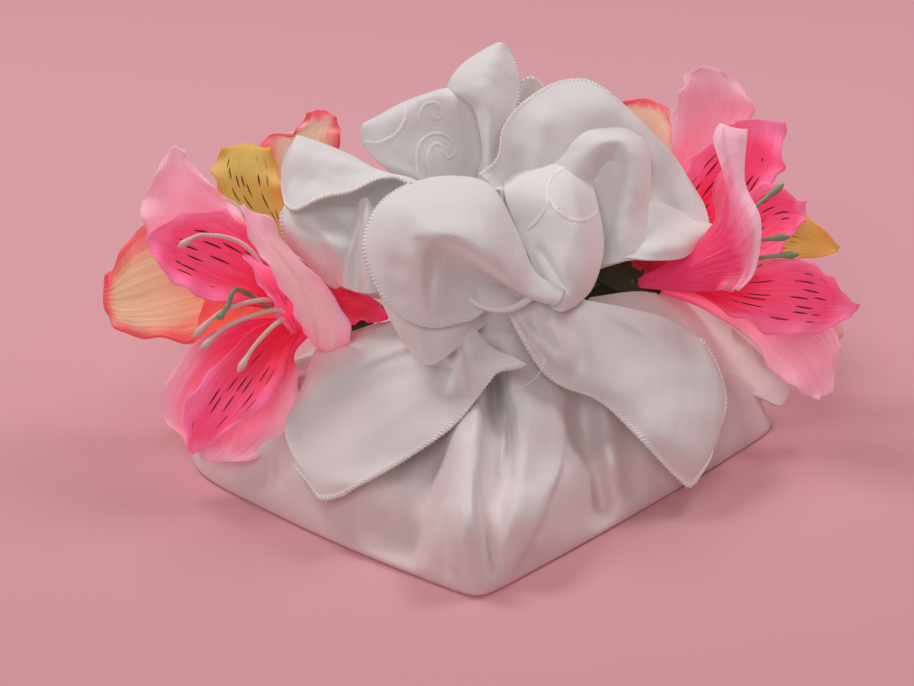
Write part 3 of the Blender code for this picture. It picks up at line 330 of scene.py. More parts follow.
# Creases of each ear and tail, as the folds above, raised towards the eye.
CREASES = {
    "front_ear": (
        (
            4.2, 0.9, 6.0,
            ((-10, 6), (-11.3, 18), (-11, 30), (-7, 35.3), (0, 35), (8, 30.5), (15, 24.5), (24, 15)),
        ),
        (-3.2, 2.0, 3.0, ((-8.4, 10), (-8.8, 21), (-7.4, 29), (-2.5, 30.3), (5, 25.5), (10, 20))),
        (-2.0, 4.5, 4.5, ((-5, 30), (-2, 22), (2, 14))),
        (-1.2, 4.0, 4.0, ((-18, 30), (-20, 20), (-15, 13))),
        (1.2, 3.0, 3.0, ((6, 44), (12, 34), (17, 24))),
        (-1.5, 3.0, 3.0, ((12, 46), (17, 36), (21, 26))),
    ),
    "under_ear": (
        (1.4, 0.8, 2.0, ((-14.5, 8), (-13, 1), (-10.5, -6.5))),
    ),
    "left_tail": (
        (1.8, 2.0, 3.0, ((-48, -14), (-30, -6), (-8, 2), (4, 6))),
        (-1.6, 4.0, 4.0, ((-50, -24), (-30, -16), (-8, -8))),
        (1.2, 5.0, 3.0, ((-44, -40), (-26, -28), (-6, -16))),
        (4.5, 1.0, 5.0, ((1.5, 6), (3.2, -3), (4.6, -10), (5.4, -18))),
        (-5.5, 5.0, 2.4, ((-1, 4), (-1.5, -8), (-3.5, -22))),
    ),
    "right_tail": (
        (2.4, 1.2, 2.4, ((19, 14), (22, 7), (27, 0), (33, -6), (38, -12))),
        (-1.6, 2.0, 2.0, ((22, 13), (25.5, 5.5), (27.5, -0.6), (30.5, -8))),
        (2.4, 2.6, 3.2, ((26, 13), (29.9, 7.3), (34.2, 0.3), (35.5, -6), (36, -12))),
        (-2.4, 2.5, 3.8, ((34, 12), (38.6, 3), (41.2, -4), (40, -13))),
        (1.5, 2.0, 4.0, ((44, 14), (62, 4), (80, -10))),
    ),
    "right_ear": (
        (1.2, 3.0, 3.0, ((30, 82), (28, 66), (24, 50))),
    ),
    "right_lobe": (
        (1.2, 3.0, 3.0, ((30, 52), (34, 36), (38, 18))),
        (-1.0, 3.0, 3.0, ((40, 50), (44, 36), (44, 24))),
        (-3.0, 1.6, 1.6, ((26, 35), (30.1, 27.6), (34.8, 19.7), (38.5, 14))),
    ),
    "scroll_ear": (
        (-1.0, 3.0, 3.0, ((-2, 80), (-2, 64), (0, 48))),
    ),
    "left_ear_roof": (
        (0.8, 3.0, 3.0, ((-54, 58), (-38, 54), (-20, 52))),
    ),
    "left_ear_lip": (
        (-2.0, 3.0, 2.0, ((-54, 42), (-47, 36), (-42, 26))),
        (-1.6, 2.0, 3.0, ((-49, 44), (-41, 42), (-34, 36))),
        (1.6, 3.0, 2.0, ((-47, 38), (-41, 32), (-38, 22))),
    ),
}
EAR_PAINTED_GLOW = 0.04  # strength of a painted glow, in place of the light that the single layers of the ears let through
EAR_EDGE = 0.08  # share of an ear, from its first row, over which its creases set in
EAR_WAVES = ((1, 17.0, 0.4), (5, 7.0, 0.12))  # seed for each letter of the name, length, height
EARS = (  # name, sections, points along and across, flat size in metres
    ("front_ear", FRONT_EAR, 161, 101, (0.075, 0.052)),
    ("under_ear", UNDER_EAR, 61, 31, (0.040, 0.018)),
    ("left_ear_roof", LEFT_EAR_ROOF, 85, 41, (0.065, 0.022)),
    ("left_ear_lip", LEFT_EAR_LIP, 85, 41, (0.066, 0.026)),
    ("side_pleat", SIDE_PLEAT, 51, 51, (0.034, 0.018)),
    ("left_ear_inside", LEFT_EAR_INSIDE, 61, 31, (0.066, 0.020)),
    ("scroll_ear", SCROLL_EAR, 91, 61, (0.062, 0.03)),
    ("middle_ear", MIDDLE_EAR, 61, 31, (0.068, 0.016)),
    ("top_ear", TOP_EAR, 91, 41, (0.080, 0.0145)),
    ("back_ear", BACK_EAR, 61, 31, (0.067, 0.013)),
    ("right_ear", RIGHT_EAR, 101, 71, (0.085, 0.045)),
    ("right_ear_hook", RIGHT_EAR_HOOK, 101, 41, (0.078, 0.022)),
    ("right_ear_corner", RIGHT_EAR_CORNER, 41, 41, (0.024, 0.02)),
    ("right_lobe", RIGHT_LOBE, 71, 51, (0.052, 0.038)),
    ("corner_fold", CORNER_FOLD, 91, 41, (0.078, 0.022)),
)
TAILS = (
    ("left_tail", LEFT_TAIL, 121, 91, (0.080, 0.046)),
    ("right_tail", RIGHT_TAIL, 111, 71, (0.072, 0.04)),
)

# Stitches of size 1, in millimetres.
STITCH_INSET = 0.4  # how far into the cloth the middle of the stitches lies
STITCH_HALF = (1.1, 0.66)  # half width and half height of a stitch
ROLL_HALF = 0.54  # half height of the rolled edge under the stitches
STITCH_POINTS = 8  # points on one turn of the thread
STITCH_SPREAD = (0.88, 1.1)  # between which each stitch's own size is drawn
HEM_SEED = 40
# Hems: the piece, the ear or tail that it edges, the size of its stitches, then its edges in order,
# each with the shares between which the stitches run.
HEMS = (
    ("front_ear_hem", "front_ear", 1.0, (("last_column", 0.04, 0.54),)),
    ("left_ear_hem", "left_ear_roof", 0.8, (("last_column", 0.08, 1.0),)),
    ("right_ear_hem", "right_ear", 0.66, (("first_column", 0.0, 0.6),)),
    ("top_ear_hem", "top_ear", 0.6, (("last_column", 0.45, 1.0),)),
    ("back_ear_hem", "back_ear", 0.6, (("last_row", 0.0, 1.0),)),
    ("left_lip_hem", "left_ear_lip", 0.75, (("first_row", 0.25, 1.0),)),
    (
        "left_tail_hem", "left_tail", 0.95,
        (("last_column", 0.24, 1.0), ("last_row", 1.0, 0.0), ("first_column", 1.0, 0.7)),
    ),
    (
        "right_tail_hem", "right_tail", 0.95,
        (("first_column", 0.0, 1.0), ("last_row", 0.0, 1.0), ("last_column", 1.0, 0.5)),
    ),
)

# Cords sewn on an ear: the ear, half width and half height of the cord, then its run (x, up).
CORDS = (
    (
        "scroll_ear", 0.65, 0.28,
        (
            (-12.2, 54.3), (-13.3, 60.8), (-12.4, 66.5), (-8.4, 69.6), (-3.8, 69), (-1, 66), (-0.7, 63.3),
            (-2.8, 61.7), (-4.4, 63.1), (-5.2, 65.4), (-7.4, 66.3), (-9.4, 63.9), (-9.8, 59), (-8.5, 54.2),
        ),
    ),
    (
        "scroll_ear", 0.6, 0.25,
        (
            (-12.8, 72.4), (-12.6, 76.2), (-10.6, 79.4), (-7.4, 80),
            (-5.2, 77.8), (-5.8, 75.2), (-8, 75), (-8.4, 76.8),
        ),
    ),
    ("scroll_ear", 0.7, 0.25, ((-31, 67.2), (-26, 66.7), (-20.3, 69.6), (-17.3, 74.3), (-16.8, 78.2))),
    ("right_lobe", 0.8, 0.2, ((37, 58.5), (33, 56.5), (30.4, 52.7), (30, 46.3), (27.7, 41.7), (23.5, 37.5))),
    ("right_lobe", 0.8, 0.2, ((30.4, 50), (32, 46), (35.2, 42.6), (40, 40.6), (44.5, 41.6), (46.5, 44))),
)
BAND = (  # the rolled edge of cloth across the knot (x, up, out)
    (4, 15, 40), (7, 12.8, 43), (11.7, 11.3, 45.5), (17.7, 11.5, 46.5), (23, 14, 46), (26.5, 18, 42),
)
BAND_RADII = (0.7, 1.3)
BAND_RINGS = 30
LOOSE_THREAD = ((30, -4, 44), (28, -9, 46), (26, -11.8, 47), (23, -14, 47), (18.7, -16, 46))
LOOSE_RADIUS = 0.13
LOOSE_RINGS = 24
CORD_TAPER = (0.35, 0.12)  # share of its width that a cord's end has, and share of its run that narrows
CORD_REACH = 0.04  # square millimetres within which the points of an ear carry a cord alike
TOWARDS_EYE = (0.0, -1.0, 0.5)
UP_AND_BACK = (0.0, 0.31, 0.95)  # the rings of a tube start square to this

# The silk flowers. A petal is rows from the hub to the tip, each as left edge, midrib and right
# edge, or a midrib with its half width, the turn of its face in degrees and its cup.
LEFT_FRONT_OUTER = (
    (
        ((-50, 5, 14), (-48, 8, 14), (-46, 10.5, 14)),
        ((-82, 20, 26), (-70, 24, 17), (-58, 24, 20)),
        ((-100, 33, 30), (-82, 38, 21), (-67, 36, 24)),
        ((-105.5, 43, 29), (-90, 49, 22), (-73, 44.5, 24)),
        ((-102, 54, 25), (-93, 58, 20), (-82, 53, 22)),
        ((-96.5, 64, 20), (-94, 66, 19), (-91.5, 63.5, 19)),
    ),
    (
        ((-49.5, 6, 15), (-47.5, 6.5, 15), (-45.5, 5, 15)),
        ((-51, 3.5, 30), (-45, -2.5, 27), (-38, -1.5, 24)),
        ((-55, 11, 40), (-47, 9, 36), (-36, 6.5, 32)),
        ((-61, 22, 47), (-54, 22, 43), (-45, 20, 39)),
        ((-68, 32, 49), (-63, 33.5, 47), (-58, 35, 44)),
        ((-72, 45.5, 46), (-71.5, 46.3, 46), (-71, 46.5, 45)),
    ),
    (
        ((-50, 7.5, 14.5), (-48.5, 6, 14), (-47, 4.5, 14.5)),
        ((-68, 8, 28), (-60, 1, 22), (-54, -3, 26)),
        ((-85, 1, 34), (-72, -9, 28), (-53.5, -10, 32)),
        ((-96.5, -12, 37), (-79, -19, 33), (-53, -19, 36)),
        ((-98.5, -24, 38), (-82, -28, 36), (-57, -30.5, 38)),
        ((-91, -32, 38), (-82, -35, 37), (-67, -37.5, 38)),
        ((-86, -38.5, 36), (-83, -39.5, 36), (-79, -40, 36)),
    ),
)
LEFT_FRONT_INNER = (
    (
        ((-52.5, 8, 20), (-51, 9.5, 20), (-50, 11.5, 20)),
        ((-66, 12, 31), (-62, 19, 26), (-60, 27, 32)),
        ((-80, 13.5, 36), (-76, 26, 31), (-71, 40, 38)),
        ((-91, 18, 38), (-88, 31, 33), (-83, 44.5, 39)),
        ((-99, 25.5, 37), (-96, 33.5, 34), (-94, 42, 37)),
        ((-104, 34, 34), (-104, 35, 34), (-103.5, 36, 34)),
    ),
    (
        ((-51, 7.5, 21), (-50.5, 8, 21), (-50, 8.5, 21)),
        ((-55.5, 3, 33), (-52, 4, 28.5), (-50, 7, 27.5)),
        ((-60, 10, 41), (-55.5, 10.5, 34.5), (-51.5, 12, 33)),
        ((-65, 18.5, 45.5), (-61, 19.5, 41), (-56.5, 21.5, 39)),
        ((-71.5, 28.5, 43.5), (-71.3, 29, 43.5), (-71, 29.5, 43.5)),
    ),
    (
        ((-52.5, 8.5, 20.5), (-51.5, 7.5, 20), (-50.5, 6, 20.5)),
        ((-66, 6, 35), (-60, 0, 31), (-55.5, -3, 34)),
        ((-77, -4, 42), (-69, -10, 38), (-57.5, -9, 41)),
        ((-86, -14, 44), (-75, -18, 41), (-62.5, -19.5, 44)),
        ((-91, -24, 44), (-81, -26.5, 42), (-70, -25, 44)),
        ((-90.5, -33, 43), (-86, -33.5, 42), (-79, -31.5, 43)),
        ((-88.6, -36.8, 42), (-88.3, -37, 42), (-88, -36.8, 42)),
    ),
    (((-48, 10, 14), (-42, 14, 22), (-33, 12, 25), (-23, 8, 25)), 6.5, 20.0, 1.5),
)
LEFT_BACK_OUTER = (
    (
        ((-58, 26, -3), (-57.5, 27.5, -4), (-57, 29, -3)),
        ((-72, 8, 4), (-76, 21, 0), (-80, 36, 4)),
        ((-88, 1, 8), (-94, 17.5, 5), (-96, 40, 6)),
        ((-101, 1.5, 9), (-106, 14, 6), (-106, 38.5, 5)),
        ((-112, 4, 8), (-114, 13, 6), (-113, 27, 4)),
        ((-117, 9, 6), (-118, 14, 6), (-117.5, 22, 5)),
    ),
    (
        ((-57, 28, -2.5), (-56, 28.5, -2.5), (-55, 28, -2.5)),
        ((-64, 45, -3), (-53, 46, -4), (-42, 46, -3)),
        ((-66, 60, -2), (-52.5, 60, -4), (-40, 60, -2)),
        ((-64.5, 67.5, -1), (-51, 69, -3), (-39, 69, -1.5)),
        ((-54, 71, -1), (-47, 73.5, -2), (-39.5, 74, -2)),
        ((-51, 76, -2), (-46.5, 77.8, -2.5), (-42, 77, -2)),
    ),
    (((-56.5, 27.5, -4), (-58, 41, -14), (-61, 53, -20), (-63, 62, -22)), 14.0, 10.0, 2.0),
)
LEFT_BACK_INNER = (
    (
        ((-59, 28, 4), (-58, 28.5, 4), (-57, 28, 4)),
        ((-68, 36, 8), (-62, 38, 4), (-56, 38, 7)),
        ((-78, 47, 10), (-69, 49, 6), (-58, 48, 9)),
        ((-81.5, 56, 9), (-71.5, 57, 7), (-59, 55, 9)),
        ((-80, 63, 6), (-71, 64, 5), (-62, 63.5, 6)),
        ((-77, 65.5, 4), (-71, 66.5, 3), (-65, 66, 4)),
    ),
    (((-58.5, 27.5, 4), (-75, 30, 8), (-86, 31, 11), (-96, 31, 11)), 11.0, 0.0, 2.0),
    (((-58, 26.5, 4), (-68, 14, 8), (-78, 6, 11), (-87, 0, 10)), 11.0, 0.0, 2.5),
)
RIGHT_FRONT_OUTER = (
    (
        ((59.5, 21, 2), (60.5, 21, 2), (61.5, 21, 2)),
        ((64, 40, -5), (70, 38, -8), (78, 36, -4)),
        ((70, 58, -4), (78, 57, -7), (90, 54, -2)),
        ((72, 74, -1), (83, 73, -4), (97, 70, 0)),
        ((75, 85.5, 0), (85, 83, -1), (98.5, 79, 1)),
        ((80, 92, 1), (85, 92, 0), (90, 89.5, 1)),
    ),
    (
        ((60.4, 18.5, 4), (60.4, 19.2, 4.3), (60.4, 20, 4.6), (60.4, 20.8, 4.8), (60.4, 21.5, 5)),
        ((72, 17.5, 14), (73, 20.5, 17), (74, 24, 18), (76.5, 28, 17.5), (80, 32, 16)),
        ((84, 17, 22), (87, 23, 26), (88, 30, 28), (87.5, 38, 27), (86, 46, 24)),
        ((90, 17, 27), (94, 24, 31), (94.5, 33, 33), (90.5, 46, 32), (88, 60, 30)),
        ((92.5, 17.2, 29), (97.5, 24.5, 32.5), (98, 37, 37), (92.5, 51, 34.5), (87.5, 72, 33)),
        ((94.5, 17.5, 30), (99.7, 25, 33), (101.3, 41, 36), (95.8, 54, 32), (96.7, 71, 33)),
    ),
    (
        ((60.5, 18.5, 0.5), (61, 19.5, 0.5), (61.5, 20.5, 0.5)),
        ((76, 14, 4), (78, 17, -2), (82, 22, 0)),
        ((93, 5.5, 10), (96, 12, 4), (100, 18, 6)),
        ((102.5, -5.5, 13), (108, 4, 8), (116, 12, 9)),
        ((111, -13.5, 13), (117, -5, 10), (126, 3, 10)),
        ((118, -17.5, 12), (121.5, -14, 11), (127, -5, 10)),
        ((121, -18, 11), (123, -17.5, 11), (125, -16.5, 10.5)),
    ),
)
RIGHT_FRONT_INNER = (
    (
        ((68.5, 23, 2.5), (69.5, 23, 2.5), (70.5, 23, 2.5)),
        ((68, 38, 3), (77, 38, -2), (88, 36, 4)),
        ((72, 52, 5), (86, 50, 1), (100, 46, 8)),
        ((80, 62, 8), (94, 60, 5), (107, 55, 11)),
        ((88, 71, 10), (98, 69, 8), (109, 62, 13)),
        ((93, 74.5, 11), (101, 74.5, 10), (109.5, 73.5, 12)),
    ),
    (
        ((69.5, 23, 3), (70, 22, 3), (70.5, 21, 3)),
        ((82, 33, 10), (84, 28, 6), (86, 23, 10)),
        ((94, 48, 17), (98, 38, 14), (99, 25, 18)),
        ((103, 53, 19), (107, 43, 17), (107.5, 30, 21)),
        ((111, 50, 18), (113, 43, 17), (112.5, 37, 20)),
        ((115.5, 46.5, 16), (116.3, 44, 16), (116, 41.5, 16.5)),
    ),
    (
        ((70, 22, 3), (70, 21, 3), (70, 20, 3)),
        ((84, 24, 13), (84, 20, 9), (82, 15.5, 12)),
        ((98, 25, 24), (98, 16.5, 20), (93, 8.5, 23)),
        ((111, 28, 29), (111, 16, 25), (103, 4, 27)),
        ((120, 26, 29), (120.5, 14.5, 26), (113, 2.5, 28)),
        ((127, 19.5, 27), (127.5, 13, 25), (121.5, 3.8, 27)),
        ((133.5, 12, 23), (133.7, 11.5, 23), (133.5, 11, 23)),
    ),
    (((60, 20, 3), (64, 27, 8), (70, 32, 10), (78, 36, 9)), 7.5, 0.0, 1.5),
)
RIGHT_BACK_OUTER = (
    (
        ((70.5, 39, -22), (71.5, 39, -22), (72.5, 39, -22)),
        ((60, 50, -18), (70, 52, -22), (80, 50, -18)),
        ((55, 66, -15), (66, 66, -19), (76, 62, -14)),
        ((52, 77, -14), (63, 77, -16), (73, 72, -13)),
        ((56, 80.5, -15), (63, 81.5, -16), (71, 78, -14)),
    ),
    (((72, 37, -22), (92, 24, -15), (114, 10, -7), (128, 1.5, -6)), 13.0, 0.0, 2.5),
    (((71.5, 38.5, -23), (79, 51, -32), (85, 61, -37), (89, 68, -39)), 13.0, 10.0, 2.0),
)
RIGHT_BACK_INNER = (
    (((74, 40, -17), (80, 54, -18), (87, 64, -15), (94, 71, -12)), 11.0, 0.0, 2.0),
    (((74.5, 39, -16.5), (91, 38, -12), (110, 36, -5), (127, 31, -2)), 10.5, 0.0, 2.0),
    (((74, 38, -17), (88, 26, -12), (98, 15, -7), (108, 6, -4)), 10.5, 0.0, 2.0),
)
OUTLINE = (0.18, 0.46, 0.75, 0.94, 1.0, 0.94, 0.76, 0.46, 0.10)  # half width of a plain petal
PETALS = (  # node, petals, a finish for each petal
    ("left_front_outer_petals", LEFT_FRONT_OUTER, ("pale_pink", "blush", "deep_pale_pink")),
    ("left_front_inner_petals", LEFT_FRONT_INNER, ("hot_pink", "hot_pink", "hot_pink", "deep_red")),
    ("left_back_outer_petals", LEFT_BACK_OUTER, ("cream_coral", "coral", "coral")),
    ("left_back_inner_petals", LEFT_BACK_INNER, ("golden", "coral_red", "coral_red")),
    ("right_front_outer_petals", RIGHT_FRONT_OUTER, ("pale_pink", "ribbon_pink", "pale_pink")),
    ("right_front_inner_petals", RIGHT_FRONT_INNER, ("hot_pink", "hot_pink", "hot_pink", "deep_red")),
    ("right_back_outer_petals", RIGHT_BACK_OUTER, ("coral", "cream_pink", "coral")),
    ("right_back_inner_petals", RIGHT_BACK_INNER, ("golden", "golden", "golden")),
)
PETAL_COLOURS = {  # heart, body, edge, tip, reach of the heart's colour, share of streaks, painted glow for the light through the silk
    "pale_pink": (
        (0.93, 0.13, 0.28), (0.92, 0.36, 0.48), (0.94, 0.46, 0.56), (0.86, 0.32, 0.60),
        0.42, 0.0, 0.19,
    ),
    "deep_pale_pink": (
        (0.88, 0.04, 0.16), (0.92, 0.25, 0.39), (0.93, 0.44, 0.56), (0.86, 0.28, 0.56),
        0.48, 0.0, 0.18,
    ),
    "blush": (
        (0.93, 0.18, 0.34), (0.95, 0.50, 0.52), (0.95, 0.40, 0.53), (0.88, 0.34, 0.60),
        0.30, 0.0, 0.22,
    ),
    "ribbon_pink": (
        (0.88, 0.03, 0.14), (0.96, 0.28, 0.44), (0.96, 0.54, 0.66), (0.76, 0.30, 0.68),
        0.72, 0.0, 0.20,
    ),
    "hot_pink": (
        (0.84, 0.012, 0.06), (0.97, 0.07, 0.20), (0.96, 0.18, 0.37), (0.86, 0.13, 0.48),
        0.45, 1.0, 0.26,
    ),
    "deep_red": (
        (0.40, 0.004, 0.02), (0.72, 0.01, 0.05), (0.85, 0.03, 0.12), (0.9, 0.05, 0.2),
        0.5, 0.0, 0.24,
    ),
    "coral_red": (
        (0.92, 0.10, 0.06), (0.94, 0.20, 0.14), (0.94, 0.13, 0.13), (0.93, 0.08, 0.14),
        0.50, 0.0, 0.24,
    ),
    "cream_coral": (
        (0.80, 0.48, 0.24), (0.84, 0.58, 0.36), (0.92, 0.12, 0.14), (0.92, 0.03, 0.16),
        0.30, 0.0, 0.14,
    ),
    "cream_pink": (
        (0.82, 0.40, 0.36), (0.88, 0.60, 0.44), (0.90, 0.46, 0.42), (0.90, 0.30, 0.36),
        0.30, 0.0, 0.16,
    ),
    "coral": (
        (0.88, 0.54, 0.34), (0.90, 0.64, 0.48), (0.93, 0.11, 0.15), (0.93, 0.04, 0.14),
        0.40, 0.0, 0.20,
    ),
    "golden": (
        (0.52, 0.40, 0.06), (0.66, 0.48, 0.10), (0.76, 0.42, 0.09), (0.90, 0.12, 0.05),
        0.35, 1.0, 0.18,
    ),
}
PETAL_ROWS = 41
PETAL_COLUMNS = 21
# The waves of a petal's edges, in radians, each drawn between two values.
RUFFLE_TURNS = (20, 26)  # from the hub to the tip
RUFFLE_START = (0, 6)
RUFFLE_SIDES = (0.5, 2.5)  # by which one edge is ahead and the other behind
RIB_RISE = -0.5  # millimetres that the midrib stands out of the petal's face
RIB_WIDTH = 0.12  # of the petal's half width
NOTCH = (9.0, 0.9)  # length and height of the unevenness of a petal's edge
NOTCH_RUN = 60  # where that unevenness is read: how far it runs along the petal
NOTCH_APART = 90  # and how far each edge lies from the midrib
NOTCH_HEADING = (1.0, 0.4, 0.2)
# The dye of a petal. A band is where a colour begins and where it is full.
EDGE_BAND = (0.42, 0.98)
TIP_BAND = (1.02, 1.2)
HEART_BAND = (-0.12, 0.3)
VEIN_BAND = (0.0, 0.3)
VEIN_MOST = 0.10
PALE_VEIN = (1.0, 0.82, 0.84, 1)
STREAK_CELLS = (9.0, 6.0)  # cells across and along a petal, each with one streak or none
STREAK_NARROWNESS = (7.5, 2.6)  # half widths and half lengths of a streak that fit in a cell
STREAK_PICK = (0.30, 0.34)  # band of the cells' random values, under which a cell has no streak
STREAK_SIDES = (0.74, 0.6)
STREAK_HUB_END = (0.2, 0.28)
STREAK_TIP_END = (0.76, 0.68)
DARK_STREAK = (0.13, 0.008, 0.012, 1)
SILK_RIBS = 80.0  # radians of fine ribs across a petal
SILK_SWAY = 16.0
PLAIN_FINISHES = {  # dark, light, patches in a metre, roughness
    "green_plastic": ((0.10, 0.22, 0.10), (0.42, 0.52, 0.30), 160.0, 0.42),
    "filament_plastic": ((0.78, 0.52, 0.48), (0.86, 0.66, 0.60), 260.0, 0.42),
    "stem_green": ((0.06, 0.10, 0.02), (0.16, 0.26, 0.07), 260.0, 0.5),
    # The leaves' near black is their own dark green deepened by painted shade.
    "leaf_green_painted_shade": ((0.02, 0.03, 0.012), (0.06, 0.08, 0.03), 200.0, 0.6),
}

STAMENS = {  # node, then the runs of its filaments
    "left_front_stamens": (
        ((-56.2, 8.3, 25.8), (-69, 31, 40), (-84, 36, 44), (-93, 32, 46)),
        ((-56.7, 7.8, 25.8), (-72.5, 17.7, 44), (-76.3, 12.7, 48), (-79.7, 7.7, 48)),
        ((-56.2, 7.3, 25.8), (-61.7, 14.3, 42), (-77.3, 11, 47), (-88, 2, 48)),
        ((-56.2, 7.3, 25.8), (-60.7, 11, 42), (-75.7, 6, 46), (-85.7, -2.3, 49)),
        ((-56.2, 7.3, 25.8), (-59.7, 7, 42), (-67.3, -0.7, 47), (-73, -9.7, 50)),
    ),
    "left_back_stamens": (
        ((-60, 28.5, 9), (-66, 38, 13), (-74, 46, 15), (-82, 50, 14.5)),
        ((-60.5, 27.5, 9), (-68, 31, 13.5), (-77, 36, 15.5), (-86, 37, 16)),
        ((-60, 26.5, 9), (-68, 22, 13.5), (-78, 20, 15.5), (-87, 17, 16)),
    ),
    "right_front_stamens": (
        ((74, 22.5, 7.8), (85, 26.5, 20.5), (98, 33.5, 26.5), (111, 35.5, 28)),
        ((74, 22, 7.8), (87, 24.5, 21.5), (102, 28.5, 30.5), (114, 29.5, 33)),
        ((73.5, 22.5, 7.8), (86, 31, 20), (98, 44, 24.5), (109, 53, 26)),
    ),
    "right_back_stamens": (
        ((76.5, 39, -12.5), (88, 41, -12), (99, 47, -7), (107, 53, -3)),
        ((76.5, 38.5, -12.5), (88, 38.5, -9.5), (98, 42, -4), (106, 42, 0)),
        ((76, 38, -12.5), (86, 33, -9), (94, 29, -4), (103, 25, -1)),
    ),
}
GREEN_STAMENS = {  # the filaments that are green
    "left_front_stamens": (1,),
    "left_back_stamens": (1,),
    "right_front_stamens": (0, 1, 2),
    "right_back_stamens": (2,),
}
STEMS = {
    "left_front_stem": ((-46, 8.3, 14.6), (-36, 10, 9), (-22, 11.5, 12), (1.2, 13.5, 17.1)),
    "left_back_stem": ((-55, 26, -4), (-43.5, 19.5, -6), (-27, 18.5, 2), (4.1, 18.8, 16.5)),
    "right_front_stem": ((58.5, 20, 2), (50, 20.5, 3), (42, 19, 7), (24.6, 15.5, 17.2)),
    "right_back_stem": ((69.5, 37, -23), (60, 33, -24), (48, 27, -12), (20.6, 20.5, 15.1)),
}
LEAVES = {  # the stem it sits on, then midrib and half width as for a petal
    "right_upper_leaf": ("right_front_stem", ((66, 19, 3), (59, 22, 6), (52, 24, 8), (42, 24.5, 8)), 6.5),
    "right_lower_leaf": ("right_front_stem", ((68, 18, 2), (58, 17, 4), (46, 17, 7), (36, 16, 12)), 6.5),
    "left_upper_leaf": ("left_front_stem", ((-50, 9, 11), (-44, 13, 12), (-38, 16, 12), (-30, 17, 12)), 6.0),
    "left_lower_leaf": ("left_front_stem", ((-48, 6, 12), (-40, 8, 12), (-33, 9, 12), (-25, 9.5, 12)), 6.0),
}
LEAF_TURN = 0.0
LEAF_CUP = 1.5
LEAF_GRID = (25, 13)
FILAMENT_RADIUS = 0.8
KNOB_RADIUS = 2.2  # of the knob that the filaments of a flower come out of
STEM_RADIUS = 1.6
STEM_SWELL = (1.6, 0.32)  # what a stem gains at its flower, and the share over which it loses it


def place(points):
    """World millimetres of layout points (x, up, out)."""
    points = np.asarray(points, float)
    x, up, out = points[..., 0], points[..., 1], points[..., 2]
    near = (SIGHT - out) / SIGHT
    lean = math.radians(LEAN_DEG)
    sine, cosine = math.sin(lean), math.cos(lean)
    return np.stack(
        [
            LAYOUT_ORIGIN[0] + near * x,
            LAYOUT_ORIGIN[1] + near * up * sine - out * cosine,
            LAYOUT_ORIGIN[2] + near * up * cosine + out * sine,
        ],
        axis=-1,
    )


def layout(points):
    """Layout points (x, up, out) of world millimetres; the other way round from place()."""
    lean = math.radians(LEAN_DEG)
    away = np.asarray(points, float) - np.array(LAYOUT_ORIGIN)
    out = away[..., 2] * math.sin(lean) - away[..., 1] * math.cos(lean)
    up = away[..., 1] * math.sin(lean) + away[..., 2] * math.cos(lean)
    near = (SIGHT - out) / SIGHT
    return np.stack([away[..., 0] / near, up / near, out], axis=-1)


def through(rows, count):
    """count rows on one smooth curve through the given rows, evenly by row number."""
    rows = np.asarray(rows, float)
    last = len(rows) - 1
    where = np.linspace(0, last, count)
    first = np.minimum(where.astype(int), last - 1)
    t = (where - first).reshape((-1,) + (1,) * (rows.ndim - 1))
    slope = np.gradient(rows, axis=0)
    a, b = rows[first], rows[first + 1]
    da, db = slope[first], slope[first + 1]
    return (
        a * (1 + 2 * t) * (1 - t) ** 2
        + da * t * (1 - t) ** 2
        + b * t * t * (3 - 2 * t)
        - db * t * t * (1 - t)
    )


def net(sections, along, across):
    """A grid of points on the smooth surface through sections."""
    grid = through(sections, along)
    return np.swapaxes(through(np.swapaxes(grid, 0, 1), across), 0, 1)


def smoothstep(low, high, value):
    t = np.clip((value - low) / (high - low), 0, 1)
    return t * t * (3 - 2 * t)


def bell(distance, width):
    return np.exp(-((distance / width) ** 2))


def unit(vectors):
    return vectors / np.maximum(np.linalg.norm(vectors, axis=-1, keepdims=True), 1e-9)


def normals(grid):
    """Unit normals of a grid of points."""
    return unit(np.cross(np.gradient(grid, axis=1), np.gradient(grid, axis=0)))


def fold_lift(flat, folds):
    """How far folds raise cloth at flat points (x, up)."""
    lift = np.zeros(flat.shape[:-1])
    for high, left, right, run in folds:
        line = through(run, 5 * len(run))
        start, step = line[:-1], np.diff(line, axis=0)
        away = flat[..., None, :] - start
        t = np.clip((away * step).sum(-1) / (step**2).sum(-1), 0, 1)
        away -= t[..., None] * step
        gap = np.linalg.norm(away, axis=-1)
        nearest = gap.argmin(axis=-1)[..., None]
        side = np.take_along_axis(step[:, 0] * away[..., 1] - step[:, 1] * away[..., 0], nearest, -1)[..., 0]
        gap = np.take_along_axis(gap, nearest, -1)[..., 0]
        along = (nearest[..., 0] + np.take_along_axis(t, nearest, -1)[..., 0]) / len(step)
        fade = smoothstep(0, FOLD_END, along) * smoothstep(0, FOLD_END, 1 - along)
        # A run goes downwards, so what lies on its left hand is to the right for the eye.
        lift += high * fade * np.where(side > 0, bell(gap, right), bell(gap, left))
    return lift


def unevenness(points, seed, size, height):
    """A soft seeded unevenness of cloth at points: waves about size long and height high."""
    draw = np.random.default_rng(seed)
    total = np.zeros(points.shape[:-1])
    for _ in range(7):
        heading = unit(draw.normal(size=3))
        length = size * draw.uniform(0.7, 1.6)
        phase = draw.uniform(0, 2 * math.pi)
        total += np.sin(points @ heading * (2 * math.pi / length) + phase)
    return total * height / 2.6


def spread(points):
    """Cloth coordinates in metres of a grid of points in millimetres, across and along it."""
    across = np.cumsum(np.linalg.norm(np.diff(points, axis=1), axis=-1), axis=1)
    across = np.pad(across, ((0, 0), (1, 0)))
    across -= across[:, [across.shape[1] // 2]]
    along = np.linalg.norm(np.diff(points, axis=0), axis=-1).mean(axis=1)
    along = np.broadcast_to(np.append(0, np.cumsum(along))[:, None], across.shape)
    return np.stack([across, along], axis=-1) * MM


